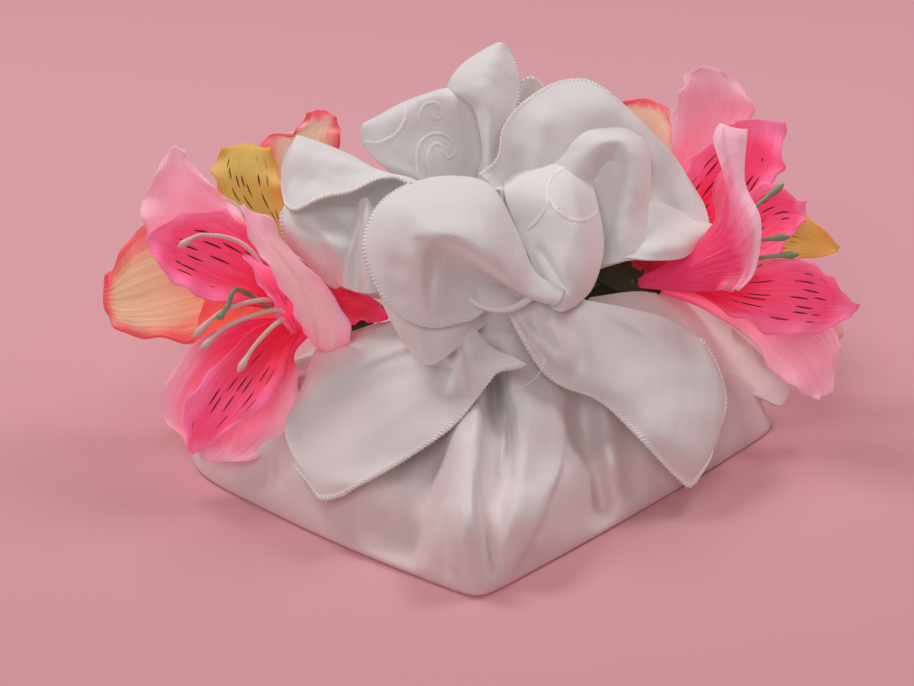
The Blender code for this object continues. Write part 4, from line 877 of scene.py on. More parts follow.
def shares(rows, columns):
    """Petal coordinates of a grid: 0 to 1 across it, and 0 to 1 from the hub to the tip."""
    return np.stack(np.meshgrid(np.linspace(0, 1, columns), np.linspace(0, 1, rows)), axis=-1)


def add_grid(work, points, uv=None):
    """Adds a grid to a bmesh with its vertices at points, in millimetres."""
    rows, columns = points.shape[:2]
    made = bmesh.ops.create_grid(work, x_segments=columns - 1, y_segments=rows - 1, size=0.5)["verts"]
    made.sort(key=lambda vert: (round(vert.co.y, 5), round(vert.co.x, 5)))
    places = points.reshape(-1, 3) * MM
    for vert, spot in zip(made, places.tolist()):
        vert.co = spot
    if uv is not None:
        layer = work.loops.layers.uv.get(CLOTH_UV) or work.loops.layers.uv.new(CLOTH_UV)
        for vert, spot in zip(made, uv.reshape(-1, 2).tolist()):
            for loop in vert.link_loops:
                loop[layer].uv = spot
    return made


def add_tube(work, points, across, over, sides):
    """Adds a closed tube to a bmesh: rings about points, with half axes across and over."""
    turn = np.linspace(0, 2 * math.pi, sides + 1)[None, :, None]
    rings = points[:, None] + across[:, None] * np.cos(turn) + over[:, None] * np.sin(turn)
    made = add_grid(work, rings)
    bmesh.ops.remove_doubles(work, verts=made, dist=1e-7)
    ends = {edge for vert in made if vert.is_valid for edge in vert.link_edges if edge.is_boundary}
    bmesh.ops.holes_fill(work, edges=list(ends), sides=0)


def finish_mesh(name, work, material, node, thickness=None, offset=0.0):
    """The object of a bmesh, dressed and bound to the frame."""
    mesh = bpy.data.meshes.new(name)
    work.to_mesh(mesh)
    work.free()
    mesh.shade_smooth()
    mesh.materials.append(material)
    piece = bpy.data.objects.new(name, mesh)
    bpy.context.scene.collection.objects.link(piece)
    if thickness:
        wall = piece.modifiers.new("thickness", "SOLIDIFY")
        wall.thickness = thickness * MM
        wall.offset = offset
    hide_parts(node)
    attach(piece, "root")
    return piece


def footprint(angle):
    """Distance from the middle to the parcel's side at an angle in degrees."""
    total = 0.0
    for facing, distance in SIDES:
        near = np.maximum(np.cos(np.radians(angle - facing)), 0) / distance
        total = total + near**CORNER_SHARPNESS
    return total ** (-1 / CORNER_SHARPNESS)


def around_angles():
    """Angles once round the parcel, closer together at the gathered front."""
    low, high = FRONT_ANGLES
    front = np.arange(low, high, FRONT_STEP)
    back = np.arange(front[-1] + BACK_STEP, low + 360 - FRONT_STEP, BACK_STEP)
    return np.concatenate([front, back, [low + 360]])


def corner_lift(angle, way, share, radius):
    lift = np.zeros(radius.shape)
    for rim, neck, rim_width, neck_width, high, starts, full in CORNER_FOLDS:
        middle = rim + (neck - rim) * share
        apart = (angle - middle + 180) % 360 - 180
        width = rim_width + (neck_width - rim_width) * share
        lift += high * smoothstep(starts, full, way) * bell(np.radians(apart) * radius, width)
    return lift


def parcel_points():
    """Rings of the cloth over the parcel, from the middle of its underside to the knot's top."""
    angle = around_angles()
    way, share, inset, height = (column[:, None] for column in through(PROFILE, PARCEL_RINGS).T)
    side = footprint(angle)[None, :]
    radius = (side - inset) * (1 - share) + NECK_RADIUS * share
    slack = (side.max() - side) / (side.max() - side.min())
    turn = np.radians(angle)[None, :]
    heading = np.stack([np.cos(turn), np.sin(turn), np.zeros_like(turn)], axis=-1)
    points = heading * radius[..., None]
    points[..., 0] += KNOT_SHIFT[0] * share
    points[..., 1] += KNOT_SHIFT[1] * share
    points[..., 2] = height - SIDE_SAG * slack * np.sin(np.pi * np.clip(share, 0, 1))
    along = np.gradient(points, axis=0)
    across = np.roll(points[:, :-1], -1, axis=1) - np.roll(points[:, :-1], 1, axis=1)
    across = np.concatenate([across, across[:, :1]], axis=1)
    normal = unit(np.cross(across, along))
    seen = layout(points)
    foot = smoothstep(*FOLD_FOOT, height)
    waves = sum(unevenness(points, *wave) for wave in PARCEL_WAVES)
    lift = corner_lift(angle[None, :], way, share, radius) + waves * foot
    front = fold_lift(seen[..., :2], FRONT_FOLDS) * (seen[..., 2] > FRONT_OUT) * foot
    seen = layout(points + normal * lift[..., None])
    seen[..., 2] += front
    points = place(seen)
    under = [points[0] * [part, part, 1.0] for part in UNDERSIDE[::-1]]
    over = [
        np.array([KNOT_SHIFT[0], KNOT_SHIFT[1], high]) + heading[0] * [radius, radius, 0.0]
        for radius, high in CROWN
    ]
    rings = np.concatenate([under, points, over])
    rings[:, -1] = rings[:, 0]
    return rings


def ear_grid(name, sections, along, across):
    """Layout points of an ear with its creases."""
    grid = net(sections, along, across)
    edge = smoothstep(0, EAR_EDGE, np.linspace(0, 1, along))[:, None]
    lift = fold_lift(grid[..., :2], CREASES.get(name, ()))
    lift += sum(unevenness(grid, part * len(name), *wave) for part, *wave in EAR_WAVES)
    grid[..., 2] += lift * edge
    return grid


EAR_GRIDS = {name: ear_grid(name, rows, along, across) for name, rows, along, across, _ in EARS + TAILS}


# Nodes and finishes.
def add(tree, kind, values=(), **settings):
    """Adds a node with settings, and gives its inputs constants or links."""
    made = tree.nodes.new(kind)
    for key, value in settings.items():
        setattr(made, key, value)
    for socket, value in values:
        if isinstance(value, bpy.types.NodeSocket):
            tree.links.new(value, made.inputs[socket])
        else:
            made.inputs[socket].default_value = value
    return made


def math_node(tree, operation, *values):
    return add(tree, "ShaderNodeMath", enumerate(values), operation=operation).outputs[0]


def soft_range(tree, value, low, high, to_low=0.0, to_high=1.0):
    made = add(
        tree,
        "ShaderNodeMapRange",
        (("Value", value), ("From Min", low), ("From Max", high), ("To Min", to_low), ("To Max", to_high)),
        interpolation_type="SMOOTHSTEP",
    )
    return made.outputs["Result"]


def mix(tree, factor, first, second):
    made = add(tree, "ShaderNodeMix", ((0, factor), (6, first), (7, second)), data_type="RGBA")
    return made.outputs[2]


def noise(tree, vector, scale, detail):
    made = add(tree, "ShaderNodeTexNoise", (("Vector", vector), ("Scale", scale), ("Detail", detail)))
    return made.outputs[0]


def parts_of(tree, vector):
    """The three parts of a vector."""
    return add(tree, "ShaderNodeSeparateXYZ", ((0, vector),)).outputs


def uv_of(tree):
    return add(tree, "ShaderNodeUVMap", uv_map=CLOTH_UV).outputs[0]


def object_of(tree):
    return add(tree, "ShaderNodeTexCoord").outputs["Object"]


def new_group(name, inputs, outputs):
    """A shader group with sockets named in inputs and outputs, each with its kind."""
    tree = bpy.data.node_groups.new(name, "ShaderNodeTree")
    for label, kind in inputs:
        tree.interface.new_socket(label, in_out="INPUT", socket_type="NodeSocket" + kind)
    for label, kind in outputs:
        tree.interface.new_socket(label, in_out="OUTPUT", socket_type="NodeSocket" + kind)
    return tree, add(tree, "NodeGroupInput").outputs, add(tree, "NodeGroupOutput").inputs


def weave_group():
    """Plain weave with a faint crepe: a shade about 1 and a height."""
    name = "cloth_weave"
    if name in bpy.data.node_groups:
        return bpy.data.node_groups[name]
    inputs = (("Vector", "Vector"), ("Threads", "Float"), ("Shade", "Float"))
    tree, given, out = new_group(name, inputs, (("Shade", "Float"), ("Height", "Float")))
    parts = parts_of(tree, given["Vector"])
    turns = math_node(tree, "MULTIPLY", given["Threads"], 2 * math.pi)
    warp = math_node(tree, "SINE", math_node(tree, "MULTIPLY", parts[0], turns))
    weft = math_node(tree, "SINE", math_node(tree, "MULTIPLY", parts[1], turns))
    cross = math_node(tree, "MULTIPLY", warp, weft)
    crepe = noise(tree, given["Vector"], 900.0, 3.0)
    cloud = noise(tree, given["Vector"], 45.0, 2.0)
    high = math_node(tree, "ADD", math_node(tree, "MULTIPLY", cross, 0.25), crepe)
    tree.links.new(high, out["Height"])
    dip = math_node(tree, "MULTIPLY", math_node(tree, "SUBTRACT", cloud, 0.5), given["Shade"])
    tree.links.new(math_node(tree, "ADD", dip, 1.0), out["Shade"])
    return tree


def petal_group():
    """Dyed silk of a petal from its heart to its edge, with ribs and dark streaks."""
    name = "dyed_petal"
    if name in bpy.data.node_groups:
        return bpy.data.node_groups[name]
    inputs = [("Vector", "Vector")] + [(label, "Color") for label in ("Heart", "Body", "Edge", "Tip")]
    inputs += [(label, "Float") for label in ("Reach", "Streaks", "Seed")]
    tree, given, out = new_group(name, inputs, (("Color", "Color"), ("Height", "Float")))

    def stretched(wide, tall):
        """Petal coordinates stretched into cells, told apart by the petal's seed."""
        wide = math_node(tree, "MULTIPLY", across, wide)
        tall = math_node(tree, "MULTIPLY", along, tall)
        return add(tree, "ShaderNodeCombineXYZ", ((0, wide), (1, tall), (2, given["Seed"]))).outputs[0]

    def wander(vector, scale, detail):
        """Noise about nought."""
        return math_node(tree, "SUBTRACT", noise(tree, vector, scale, detail), 0.5)

    across, along, _ = parts_of(tree, given["Vector"])
    apart = math_node(tree, "ABSOLUTE", math_node(tree, "MULTIPLY_ADD", across, 2.0, -1.0))
    wash = math_node(tree, "MULTIPLY", wander(stretched(5.0, 3.0), 1.3, 3.0), 0.55)
    grain = wander(stretched(90.0, 7.0), 0.6, 2.0)
    rim = math_node(tree, "MAXIMUM", apart, soft_range(tree, along, 0.55, 1.0))
    rim = math_node(tree, "ADD", rim, wash)
    colour = mix(tree, soft_range(tree, rim, *EDGE_BAND), given["Body"], given["Edge"])
    colour = mix(tree, soft_range(tree, rim, *TIP_BAND), colour, given["Tip"])
    far = math_node(tree, "ADD", along, math_node(tree, "MULTIPLY", wash, 0.8))
    heart = math_node(tree, "SUBTRACT", given["Reach"], far)
    colour = mix(tree, soft_range(tree, heart, *HEART_BAND), colour, given["Heart"])
    pale = soft_range(tree, grain, *VEIN_BAND, 0.0, VEIN_MOST)
    colour = mix(tree, pale, colour, PALE_VEIN)
    cells = stretched(*STREAK_CELLS)
    scatter = (("Vector", cells), ("Scale", 1.0), ("Randomness", 0.75))
    dots = add(tree, "ShaderNodeTexVoronoi", scatter).outputs
    offset = add(tree, "ShaderNodeVectorMath", ((0, dots["Position"]), (1, cells)), operation="SUBTRACT")
    off = zip(parts_of(tree, offset.outputs[0]), STREAK_NARROWNESS)
    off = [math_node(tree, "MULTIPLY", part, narrow) for part, narrow in off]
    squares = [math_node(tree, "MULTIPLY", part, part) for part in off]
    dash = math_node(tree, "SQRT", math_node(tree, "ADD", *squares))
    dash = soft_range(tree, dash, 1.0, 0.7)
    pick = add(tree, "ShaderNodeSeparateColor", ((0, dots["Color"]),)).outputs[0]
    dash = math_node(tree, "MULTIPLY", dash, soft_range(tree, pick, *STREAK_PICK))
    within = soft_range(tree, apart, *STREAK_SIDES)
    for band in (STREAK_HUB_END, STREAK_TIP_END):
        within = math_node(tree, "MULTIPLY", within, soft_range(tree, along, *band))
    dash = math_node(tree, "MULTIPLY", math_node(tree, "MULTIPLY", dash, within), given["Streaks"])
    colour = mix(tree, dash, colour, DARK_STREAK)
    tree.links.new(colour, out["Color"])
    sway = math_node(tree, "MULTIPLY", wash, SILK_SWAY)
    ribs = math_node(tree, "SINE", math_node(tree, "MULTIPLY_ADD", across, SILK_RIBS, sway))
    tree.links.new(math_node(tree, "ADD", math_node(tree, "MULTIPLY", ribs, 0.25), grain), out["Height"])
    return tree


def new_material(name, roughness, sheen=0.0):
    made = bpy.data.materials.new(name)
    made.use_nodes = True
    shader = made.node_tree.nodes["Principled BSDF"]
    shader.inputs["Roughness"].default_value = roughness
    shader.inputs["Sheen Weight"].default_value = sheen
    shader.inputs["Sheen Roughness"].default_value = 0.5
    return made, made.node_tree, shader


def bump(tree, shader, height, strength, distance):
    made = add(tree, "ShaderNodeBump", (("Height", height), ("Strength", strength), ("Distance", distance)))
    tree.links.new(made.outputs[0], shader.inputs["Normal"])


def cloth_material(name="white_cloth", painted_glow=0.0):
    """White cloth with painted pink bounce light at its foot, and a painted glow in place of the light
    through a single layer.
    """
    if name in bpy.data.materials:
        return bpy.data.materials[name]
    given = bpy.context.scene.furoshiki_cloth
    made, tree, shader = new_material(name, 0.72, sheen=0.3)
    # The painted glow takes the cloth's colour, and the base colour is dimmed by its strength.
    shader.inputs["Emission Color"].default_value = (*given.colour, 1)
    shader.inputs["Emission Strength"].default_value = painted_glow
    group = add(tree, "ShaderNodeGroup", node_tree=weave_group())
    for socket, value in (("Threads", given.threads), ("Shade", 0.06)):
        group.inputs[socket].default_value = value
    tree.links.new(uv_of(tree), group.inputs["Vector"])
    # Painted pink bounce light from the floor: the cloth is tinted pink at its foot, and the tint fades as
    # it rises.
    height = parts_of(tree, object_of(tree))[2]
    bounce_fade = add(tree, "ShaderNodeMapRange", (("Value", height), ("From Max", PAINTED_BOUNCE_HEIGHT))).outputs[0]
    white = [part * (1 - painted_glow) for part in given.colour]
    painted_bounce = [part * cast for part, cast in zip(white, PAINTED_BOUNCE_TINT)]
    colour = mix(tree, bounce_fade, (*painted_bounce, 1), (*white, 1))
    shade = group.outputs["Shade"]
    tint = add(tree, "ShaderNodeVectorMath", ((0, colour), ("Scale", shade)), operation="SCALE")
    tree.links.new(tint.outputs[0], shader.inputs["Base Color"])
    bump(tree, shader, group.outputs["Height"], 0.25, 0.0002)
    return made


def thread_material():
    name = "white_thread"
    if name in bpy.data.materials:
        return bpy.data.materials[name]
    made, tree, shader = new_material(name, 0.5, sheen=0.3)
    given = bpy.context.scene.furoshiki_hem
    twist = noise(tree, object_of(tree), 2200.0, 2.0)
    colour = mix(tree, twist, (*[0.9 * c for c in given.colour], 1), (*given.colour, 1))
    tree.links.new(colour, shader.inputs["Base Color"])
    bump(tree, shader, twist, 0.4, 0.0001)
    return made


def petal_material(finish, seed):
    name = f"{finish}_silk_{seed}"
    if name in bpy.data.materials:
        return bpy.data.materials[name]
    *colours, reach, streaks, painted_glow = PETAL_COLOURS[finish]
    made, tree, shader = new_material(name, 0.62, sheen=0.1)
    shader.inputs["Emission Strength"].default_value = painted_glow  # painted glow, in place of the light that silk lets through from behind
    group = add(tree, "ShaderNodeGroup", node_tree=petal_group())
    for socket, colour in zip(("Heart", "Body", "Edge", "Tip"), colours):
        group.inputs[socket].default_value = (*colour, 1)
    for socket, value in (("Reach", reach), ("Streaks", streaks), ("Seed", 3.7 * seed)):
        group.inputs[socket].default_value = value
    tree.links.new(uv_of(tree), group.inputs["Vector"])
    tree.links.new(group.outputs["Color"], shader.inputs["Base Color"])
    # The painted glow takes the dye's colour.
    tree.links.new(group.outputs["Color"], shader.inputs["Emission Color"])
    bump(tree, shader, group.outputs["Height"], 0.5, 0.0004)
    return made


def plain_material(name):
    """Two shades of one colour in soft patches, with a fine bump."""
    if name in bpy.data.materials:
        return bpy.data.materials[name]
    dark, light, scale, roughness = PLAIN_FINISHES[name]
    made, tree, shader = new_material(name, roughness)
    patch = noise(tree, object_of(tree), scale, 3.0)
    tree.links.new(mix(tree, patch, (*dark, 1), (*light, 1)), shader.inputs["Base Color"])
    bump(tree, shader, patch, 0.2, 0.0003)
    return made


class ClothSettings(bpy.types.PropertyGroup):
    thickness: bpy.props.FloatProperty(
        name="Thickness", description="Thickness of the cloth",
        default=0.0007, min=0.0003, max=0.002, unit="LENGTH",
    )
    threads: bpy.props.FloatProperty(
        name="Threads", description="Threads in a metre of cloth",
        default=1800.0, min=200.0, max=5000.0,
    )
    colour: bpy.props.FloatVectorProperty(
        name="Colour", description="Colour of the cloth",
        default=(0.84, 0.84, 0.825), min=0.0, max=1.0, subtype="COLOR",
    )


class HemSettings(bpy.types.PropertyGroup):
    pitch: bpy.props.FloatProperty(
        name="Stitch Pitch", description="Distance from one overlock stitch to the next",
        default=0.0013, min=0.0006, max=0.004, unit="LENGTH",
    )
    thread: bpy.props.FloatProperty(
        name="Thread", description="Thickness of the sewing thread",
        default=0.0005, min=0.0002, max=0.001, unit="LENGTH",
    )
    colour: bpy.props.FloatVectorProperty(
        name="Colour", description="Colour of the sewing thread",
        default=(0.97, 0.96, 0.93), min=0.0, max=1.0, subtype="COLOR",
    )


class PetalSettings(bpy.types.PropertyGroup):
    thickness: bpy.props.FloatProperty(
        name="Thickness", description="Thickness of the silk",
        default=0.0004, min=0.0002, max=0.001, unit="LENGTH",
    )
    ruffle: bpy.props.FloatProperty(
        name="Ruffle", description="Height of the waves along a petal's edge",
        default=0.0018, min=0.0, max=0.004, unit="LENGTH",
    )


class StageSettings(bpy.types.PropertyGroup):
    floor: bpy.props.FloatVectorProperty(
        name="Floor", description="Colour of the floor",
        default=(0.785, 0.405, 0.445), min=0.0, max=1.0, subtype="COLOR",
    )
    power: bpy.props.FloatProperty(
        name="Light", description="Power of the main light in watts",
        default=10.0, min=0.0, max=100.0,
    )


class FUROSHIKI_OT_parcel_cloth(bpy.types.Operator):
    """Draw the cloth over the parcel, from its underside to the knot"""

    bl_idname = "furoshiki.parcel_cloth"
    bl_label = "Parcel Cloth"

    def execute(self, context):
        given = context.scene.furoshiki_cloth
        work = bmesh.new()
        rings = parcel_points()
        verts = add_grid(work, rings, spread(rings))
        bmesh.ops.remove_doubles(work, verts=verts, dist=1e-6)
        bmesh.ops.recalc_face_normals(work, faces=work.faces)
        thickness = given.thickness / MM
        piece = finish_mesh("parcel_cloth", work, cloth_material(), CLOTH_NODE, thickness, -1.0)
        return {"FINISHED"}


def cloth_leaf(name, grid, material):
    work = bmesh.new()
    points = place(grid)
    add_grid(work, points, spread(points))
    thickness = bpy.context.scene.furoshiki_cloth.thickness / MM
    piece = finish_mesh(name, work, material, CLOTH_NODE, thickness)


class FUROSHIKI_OT_knot_ears(bpy.types.Operator):
    """Set the ears of the knot"""

    bl_idname = "furoshiki.knot_ears"
    bl_label = "Knot Ears"

    def execute(self, context):
        # The ears' cloth carries a painted glow.
        material = cloth_material("white_cloth_painted_glow", EAR_PAINTED_GLOW)
        for name, _, _, _, flat in EARS:
            cloth_leaf(name, EAR_GRIDS[name], material)
        return {"FINISHED"}


class FUROSHIKI_OT_tails(bpy.types.Operator):
    """Lay the two ends of the cloth over the front of the parcel"""

    bl_idname = "furoshiki.tails"
    bl_label = "Tails"

    def execute(self, context):
        for name, _, _, _, flat in TAILS:
            cloth_leaf(name, EAR_GRIDS[name], cloth_material())
        return {"FINISHED"}


def hem_line(grid, edges):
    """World points along the edges of an ear, with the direction into the cloth and its normal."""
    points = place(grid)
    face = normals(points)
    inward = unit(np.gradient(points, axis=1))
    downward = unit(np.gradient(points, axis=0))
    lines = []
    for side, starts, ends in edges:
        pick, into = {
            "first_column": (np.s_[:, 0], inward),
            "last_column": (np.s_[:, -1], -inward),
            "first_row": (np.s_[0, :], downward),
            "last_row": (np.s_[-1, :], -downward),
        }[side]
        line = np.concatenate([points[pick], into[pick], face[pick]], axis=-1)
        low, high = sorted((starts, ends))
        line = line[round(low * (len(line) - 1)) : round(high * (len(line) - 1)) + 1]
        lines.append(line if ends > starts else line[::-1])
    return np.concatenate(lines)


def resample(line, step):
    """The line's rows at an even distance apart along its first three columns."""
    length = np.append(0, np.cumsum(np.linalg.norm(np.diff(line[:, :3], axis=0), axis=1)))
    where = np.arange(0, length[-1], step)
    return np.stack([np.interp(where, length, column) for column in line.T], axis=-1)


class FUROSHIKI_OT_hems(bpy.types.Operator):
    """Sew the overlock stitches round the edges of the cloth"""

    bl_idname = "furoshiki.hems"
    bl_label = "Hems"

    def execute(self, context):
        given = context.scene.furoshiki_hem
        thread = given.thread / MM / 2
        for number, (name, ear, size, edges) in enumerate(HEMS):
            line = resample(hem_line(EAR_GRIDS[ear], edges), given.pitch / MM / STITCH_POINTS)
            middle, into, face = line[:, :3], unit(line[:, 3:6]), unit(line[:, 6:])
            draw = np.random.default_rng(HEM_SEED + number)
            loops = len(line) // STITCH_POINTS + 2
            wide = np.repeat(draw.uniform(*STITCH_SPREAD, loops), STITCH_POINTS)[: len(line), None]
            angle = (np.arange(len(line)) * (2 * math.pi / STITCH_POINTS))[:, None]
            middle = middle + into * STITCH_INSET * size
            half_wide, half_high = STITCH_HALF
            loop = (into * np.cos(angle) * half_wide + face * np.sin(angle) * half_high) * wide * size
            path = middle + loop
            ahead = unit(np.gradient(path, axis=0))
            across = unit(np.cross(ahead, unit(loop))) * thread
            over = unit(np.cross(ahead, across)) * thread
            work = bmesh.new()
            add_tube(work, path, across, over, 5)
            add_tube(work, middle[::4], into[::4] * size, face[::4] * ROLL_HALF * size, 8)
            bmesh.ops.recalc_face_normals(work, faces=work.faces)
            finish_mesh(name, work, thread_material(), CLOTH_NODE)
        return {"FINISHED"}


def on_ear(grid, run):
    """World points and normals where a run of (x, up) points lies on an ear's grid."""
    points, face = place(grid), normals(place(grid))
    face = face * np.sign(face @ np.array(TOWARDS_EYE))[..., None]
    gap = np.linalg.norm(grid[None, ..., :2] - run[:, None, None], axis=-1)
    near = 1 / (gap**2 + CORD_REACH) ** 2
    near /= near.sum(axis=(1, 2), keepdims=True)
    return (near[..., None] * points).sum(axis=(1, 2)), unit((near[..., None] * face).sum(axis=(1, 2)))


class FUROSHIKI_OT_cords(bpy.types.Operator):
    """Lay the scrolls sewn on the ears, and the rolled edge across the knot"""

    bl_idname = "furoshiki.cords"
    bl_label = "Cords"

    def execute(self, context):
        work = bmesh.new()
        for ear, wide, high, run in CORDS:
            points, face = on_ear(EAR_GRIDS[ear], through(run, 12 * len(run)))
            lift = context.scene.furoshiki_cloth.thickness / MM / 2
            ahead = unit(np.gradient(points, axis=0))
            share = np.linspace(0, 1, len(points))[:, None]
            least, reach = CORD_TAPER
            taper = least + (1 - least) * smoothstep(0, reach, share) * smoothstep(0, reach, 1 - share)
            across = unit(np.cross(ahead, face)) * wide * taper
            add_tube(work, points + face * lift, across, face * high, 10)
        add_run(work, BAND, np.linspace(*BAND_RADII, BAND_RINGS), 12)
        add_run(work, LOOSE_THREAD, [LOOSE_RADIUS] * LOOSE_RINGS, 6)
        bmesh.ops.recalc_face_normals(work, faces=work.faces)
        finish_mesh("cords", work, thread_material(), CLOTH_NODE)
        return {"FINISHED"}


def plain_petal(midrib, half_width, turn, cup):
    """Rows of a petal that widens from the hub and narrows to the tip."""
    spine = through(midrib, len(OUTLINE))
    run = unit(np.gradient(spine, axis=0))
    side = unit(np.stack([run[:, 1], -run[:, 0], np.zeros(len(run))], axis=1))
    face = np.cross(side, run)
    side = side * math.cos(math.radians(turn)) + face * math.sin(math.radians(turn))
    face = np.cross(side, run)
    wide = np.array(OUTLINE)[:, None]
    middle = spine - face * cup * wide
    return np.stack([spine - side * half_width * wide, middle, spine + side * half_width * wide], axis=1)


def ruffled(points, seed, ruffle):
    """A petal's points with its waves and midrib pressed in, and its edge uneven."""
    along = np.linspace(0, 1, PETAL_ROWS)[:, None]
    apart = np.linspace(-1, 1, PETAL_COLUMNS)[None, :]
    draw = np.random.default_rng(seed)
    turns = along * draw.uniform(*RUFFLE_TURNS) + draw.uniform(*RUFFLE_START)
    wave = np.sin(turns + np.sign(apart) * draw.uniform(*RUFFLE_SIDES))
    wave = wave * np.abs(apart) ** 3 * smoothstep(0.15, 0.4, along) * ruffle / MM
    rib = RIB_RISE * bell(apart, RIB_WIDTH) * smoothstep(0, 0.2, along) * smoothstep(0, 0.3, 1 - along)
    points = points + normals(points) * (wave + rib)[..., None]
    places = (NOTCH_RUN * along + NOTCH_APART * np.sign(apart))[..., None] * NOTCH_HEADING
    notch = unevenness(places, seed, *NOTCH)
    outward = unit(np.gradient(points, axis=1)) * np.sign(apart)[..., None]
    edge = np.abs(apart) ** 5 * smoothstep(0.2, 0.4, along)
    return points + outward * (notch * edge)[..., None]


class FUROSHIKI_OT_petals(bpy.types.Operator):
    """Set the silk petals of the four flowers"""

    bl_idname = "furoshiki.petals"
    bl_label = "Petals"

    def execute(self, context):
        given = context.scene.furoshiki_petal
        for number, (node, rows, finishes) in enumerate(PETALS):
            for index, (row, finish) in enumerate(zip(rows, finishes)):
                if not hasattr(row[1], "__len__"):
                    row = plain_petal(*row)
                points = place(net(row, PETAL_ROWS, PETAL_COLUMNS))
                points = ruffled(points, 10 * number + index, given.ruffle)
                work = bmesh.new()
                add_grid(work, points, shares(PETAL_ROWS, PETAL_COLUMNS))
                material = petal_material(finish, 3 * number + index)
                name = f"{node[:-1]}_{index + 1}"
                piece = finish_mesh(name, work, material, node, given.thickness / MM)
        return {"FINISHED"}


def add_run(work, run, radii, sides):
    """Adds a tube along a smooth run of layout points, with a radius at each of its points."""
    points = place(through(run, len(radii)))
    ahead = unit(np.gradient(points, axis=0))
    across = unit(np.cross(ahead, UP_AND_BACK))
    radii = np.asarray(radii)[:, None]
    add_tube(work, points, across * radii, np.cross(across, ahead) * radii, sides)


def add_ball(work, centre, radius):
    made = bmesh.ops.create_uvsphere(work, u_segments=12, v_segments=8, radius=radius * MM)
    bmesh.ops.translate(work, verts=made["verts"], vec=tuple(np.asarray(centre) * MM))


def filament_swell():
    """Thickness along a filament, which narrows, swells into a tip and rounds off."""
    share = np.linspace(0, 1, 36)
    thick = 1.1 - 0.3 * share + 0.75 * smoothstep(0.78, 0.93, share)
    return thick * np.sqrt(1 - smoothstep(0.93, 1.0, share) * 0.93)


class FUROSHIKI_OT_stamens(bpy.types.Operator):
    """Set the filaments and knobs in the middle of each flower"""

    bl_idname = "furoshiki.stamens"
    bl_label = "Stamens"

    def execute(self, context):
        thick = FILAMENT_RADIUS * filament_swell()
        for node, runs in STAMENS.items():
            for green in (False, True):
                picked = [run for index, run in enumerate(runs) if (index in GREEN_STAMENS[node]) == green]
                if not picked:
                    continue
                work = bmesh.new()
                for run in picked:
                    add_run(work, run, thick, 8)
                if not green:
                    add_ball(work, place(np.mean([run[0] for run in runs], axis=0)), KNOB_RADIUS)
                bmesh.ops.recalc_face_normals(work, faces=work.faces)
                material = plain_material("green_plastic" if green else "filament_plastic")
                finish_mesh(node + ("_green" if green else "_fine"), work, material, node)
        return {"FINISHED"}


class FUROSHIKI_OT_stems(bpy.types.Operator):
    """Set the stems that run from the flowers into the knot"""

    bl_idname = "furoshiki.stems"
    bl_label = "Stems"

    def execute(self, context):
        for node, run in STEMS.items():
            work = bmesh.new()
            gain, reach = STEM_SWELL
            swell = gain * (1 - smoothstep(0.0, reach, np.linspace(0, 1, 32)))
            add_run(work, run, STEM_RADIUS + swell, 14)
            bmesh.ops.recalc_face_normals(work, faces=work.faces)
            finish_mesh(node + "_fine", work, plain_material("stem_green"), node)
        return {"FINISHED"}


class FUROSHIKI_OT_leaves(bpy.types.Operator):
    """Set the small dark leaves behind the flowers, their near black partly painted shade"""

    bl_idname = "furoshiki.leaves"
    bl_label = "Leaves"

    def execute(self, context):
        material = plain_material("leaf_green_painted_shade")
        thickness = context.scene.furoshiki_petal.thickness / MM
        for name, (node, midrib, half_width) in LEAVES.items():
            points = place(net(plain_petal(midrib, half_width, LEAF_TURN, LEAF_CUP), *LEAF_GRID))
            work = bmesh.new()
            add_grid(work, points)
            piece = finish_mesh(name, work, material, node, thickness)
        return {"FINISHED"}


def floor_material(shade):
    made, tree, shader = new_material("floor_paper", 0.85)
    grain = noise(tree, object_of(tree), 1500.0, 2.0)
    colour = mix(tree, grain, (*[0.985 * c for c in shade], 1), (*shade, 1))
    tree.links.new(colour, shader.inputs["Base Color"])
    return made


def add_light(name, spot, size, power):
    """An area light that faces the parcel, or a soft sun where no size is given."""
    light = bpy.data.lights.new(name, "AREA" if size else "SUN")
    if size:
        light.size = size
    else:
        light.angle = math.radians(FILL_SPREAD)
    light.energy = power
    lamp = bpy.data.objects.new(name, light)
    bpy.context.scene.collection.objects.link(lamp)
    lamp.location = spot
    aim = np.array(LIGHT_AIM) - np.array(spot)
    turn = math.atan2(aim[1], aim[0]) - math.pi / 2
    lamp.rotation_euler = (math.atan2(math.hypot(aim[0], aim[1]), -aim[2]), 0, turn)


def add_camera():
    """The camera, which looks straight at the layout plane from the eye."""
    lean = math.radians(LEAN_DEG)
    lens = bpy.data.cameras.new("eye")
    lens.sensor_width = SENSOR_WIDTH
    lens.lens = SENSOR_WIDTH * SIGHT / (FRAME_PIXELS / PIXELS_PER_MM)
    lens.clip_start = CLIP_START
    eye = bpy.data.objects.new("eye", lens)
    bpy.context.scene.collection.objects.link(eye)
    eye.location = [
        (origin + SIGHT * part) * MM
        for origin, part in zip(LAYOUT_ORIGIN, (0.0, -math.cos(lean), math.sin(lean)))
    ]
    eye.rotation_euler = (math.pi / 2 - lean, 0, 0)
    bpy.context.scene.camera = eye


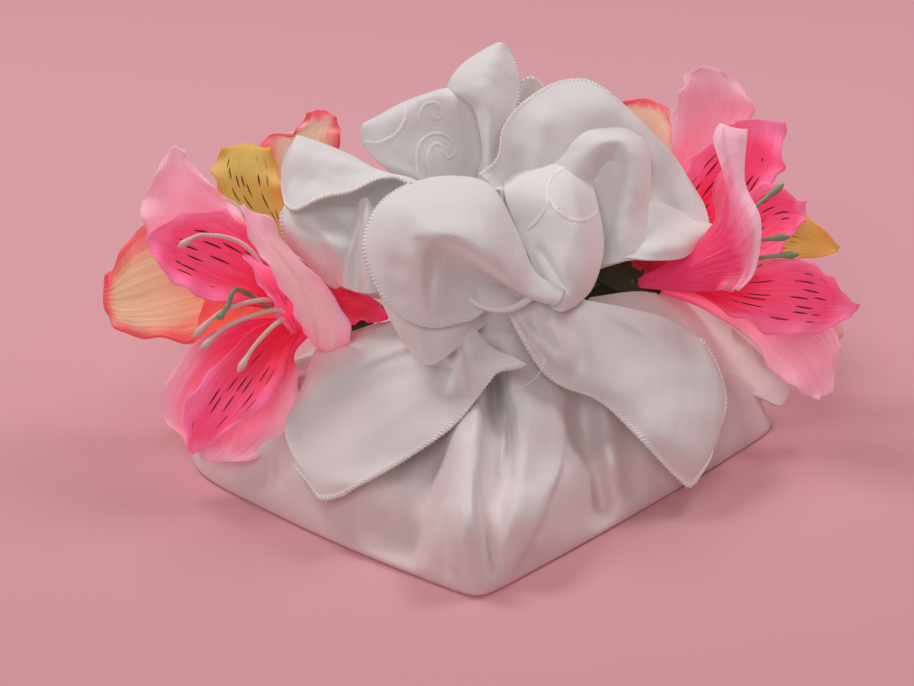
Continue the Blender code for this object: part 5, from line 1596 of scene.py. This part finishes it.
class FUROSHIKI_OT_stage(bpy.types.Operator):
    """Set the floor, the soft lights and the camera"""

    bl_idname = "furoshiki.stage"
    bl_label = "Stage"

    def execute(self, context):
        given = context.scene.furoshiki_stage
        scene = context.scene
        work = bmesh.new()
        bmesh.ops.create_grid(work, x_segments=1, y_segments=1, size=FLOOR_HALF)
        mesh = bpy.data.meshes.new("floor")
        work.to_mesh(mesh)
        work.free()
        mesh.materials.append(floor_material(given.floor))
        floor = bpy.data.objects.new("floor", mesh)
        scene.collection.objects.link(floor)
        floor.location = (0, 0, -FLOOR_DROP)
        for name, spot, size, share in LIGHTS:
            add_light(name, spot, size, given.power * share)
        world = bpy.data.worlds.new("studio")
        world.use_nodes = True
        sky = world.node_tree.nodes["Background"].inputs
        sky["Color"].default_value = SKY_COLOUR
        sky["Strength"].default_value = SKY_STRENGTH
        scene.world = world
        add_camera()
        scene.view_settings.view_transform = "Standard"
        return {"FINISHED"}


class FUROSHIKI_PT_panel(bpy.types.Panel):
    bl_idname = "FUROSHIKI_PT_panel"
    bl_label = "Furoshiki Wrap"
    bl_space_type = "VIEW_3D"
    bl_region_type = "UI"
    bl_category = "Furoshiki"

    def draw(self, context):
        for name, _ in SETTINGS:
            box = self.layout.box()
            group = getattr(context.scene, name)
            for key in group.__annotations__:
                box.prop(group, key)
        for operator in OPERATORS:
            self.layout.operator(operator.bl_idname)


SETTINGS = (
    ("furoshiki_cloth", ClothSettings),
    ("furoshiki_hem", HemSettings),
    ("furoshiki_petal", PetalSettings),
    ("furoshiki_stage", StageSettings),
)
OPERATORS = (
    FUROSHIKI_OT_stage,
    FUROSHIKI_OT_parcel_cloth,
    FUROSHIKI_OT_knot_ears,
    FUROSHIKI_OT_tails,
    FUROSHIKI_OT_hems,
    FUROSHIKI_OT_cords,
    FUROSHIKI_OT_petals,
    FUROSHIKI_OT_stamens,
    FUROSHIKI_OT_stems,
    FUROSHIKI_OT_leaves,
)


def register():
    for name, group in SETTINGS:
        bpy.utils.register_class(group)
        setattr(bpy.types.Scene, name, bpy.props.PointerProperty(type=group))
    for operator in OPERATORS:
        bpy.utils.register_class(operator)
    bpy.utils.register_class(FUROSHIKI_PT_panel)


def unregister():
    bpy.utils.unregister_class(FUROSHIKI_PT_panel)
    for operator in reversed(OPERATORS):
        bpy.utils.unregister_class(operator)
    for name, group in reversed(SETTINGS):
        delattr(bpy.types.Scene, name)
        bpy.utils.unregister_class(group)


def main():
    register()
    for operator in OPERATORS:
        family, action = operator.bl_idname.split(".")
        getattr(getattr(bpy.ops, family), action)()


if __name__ == "__main__":
    main()
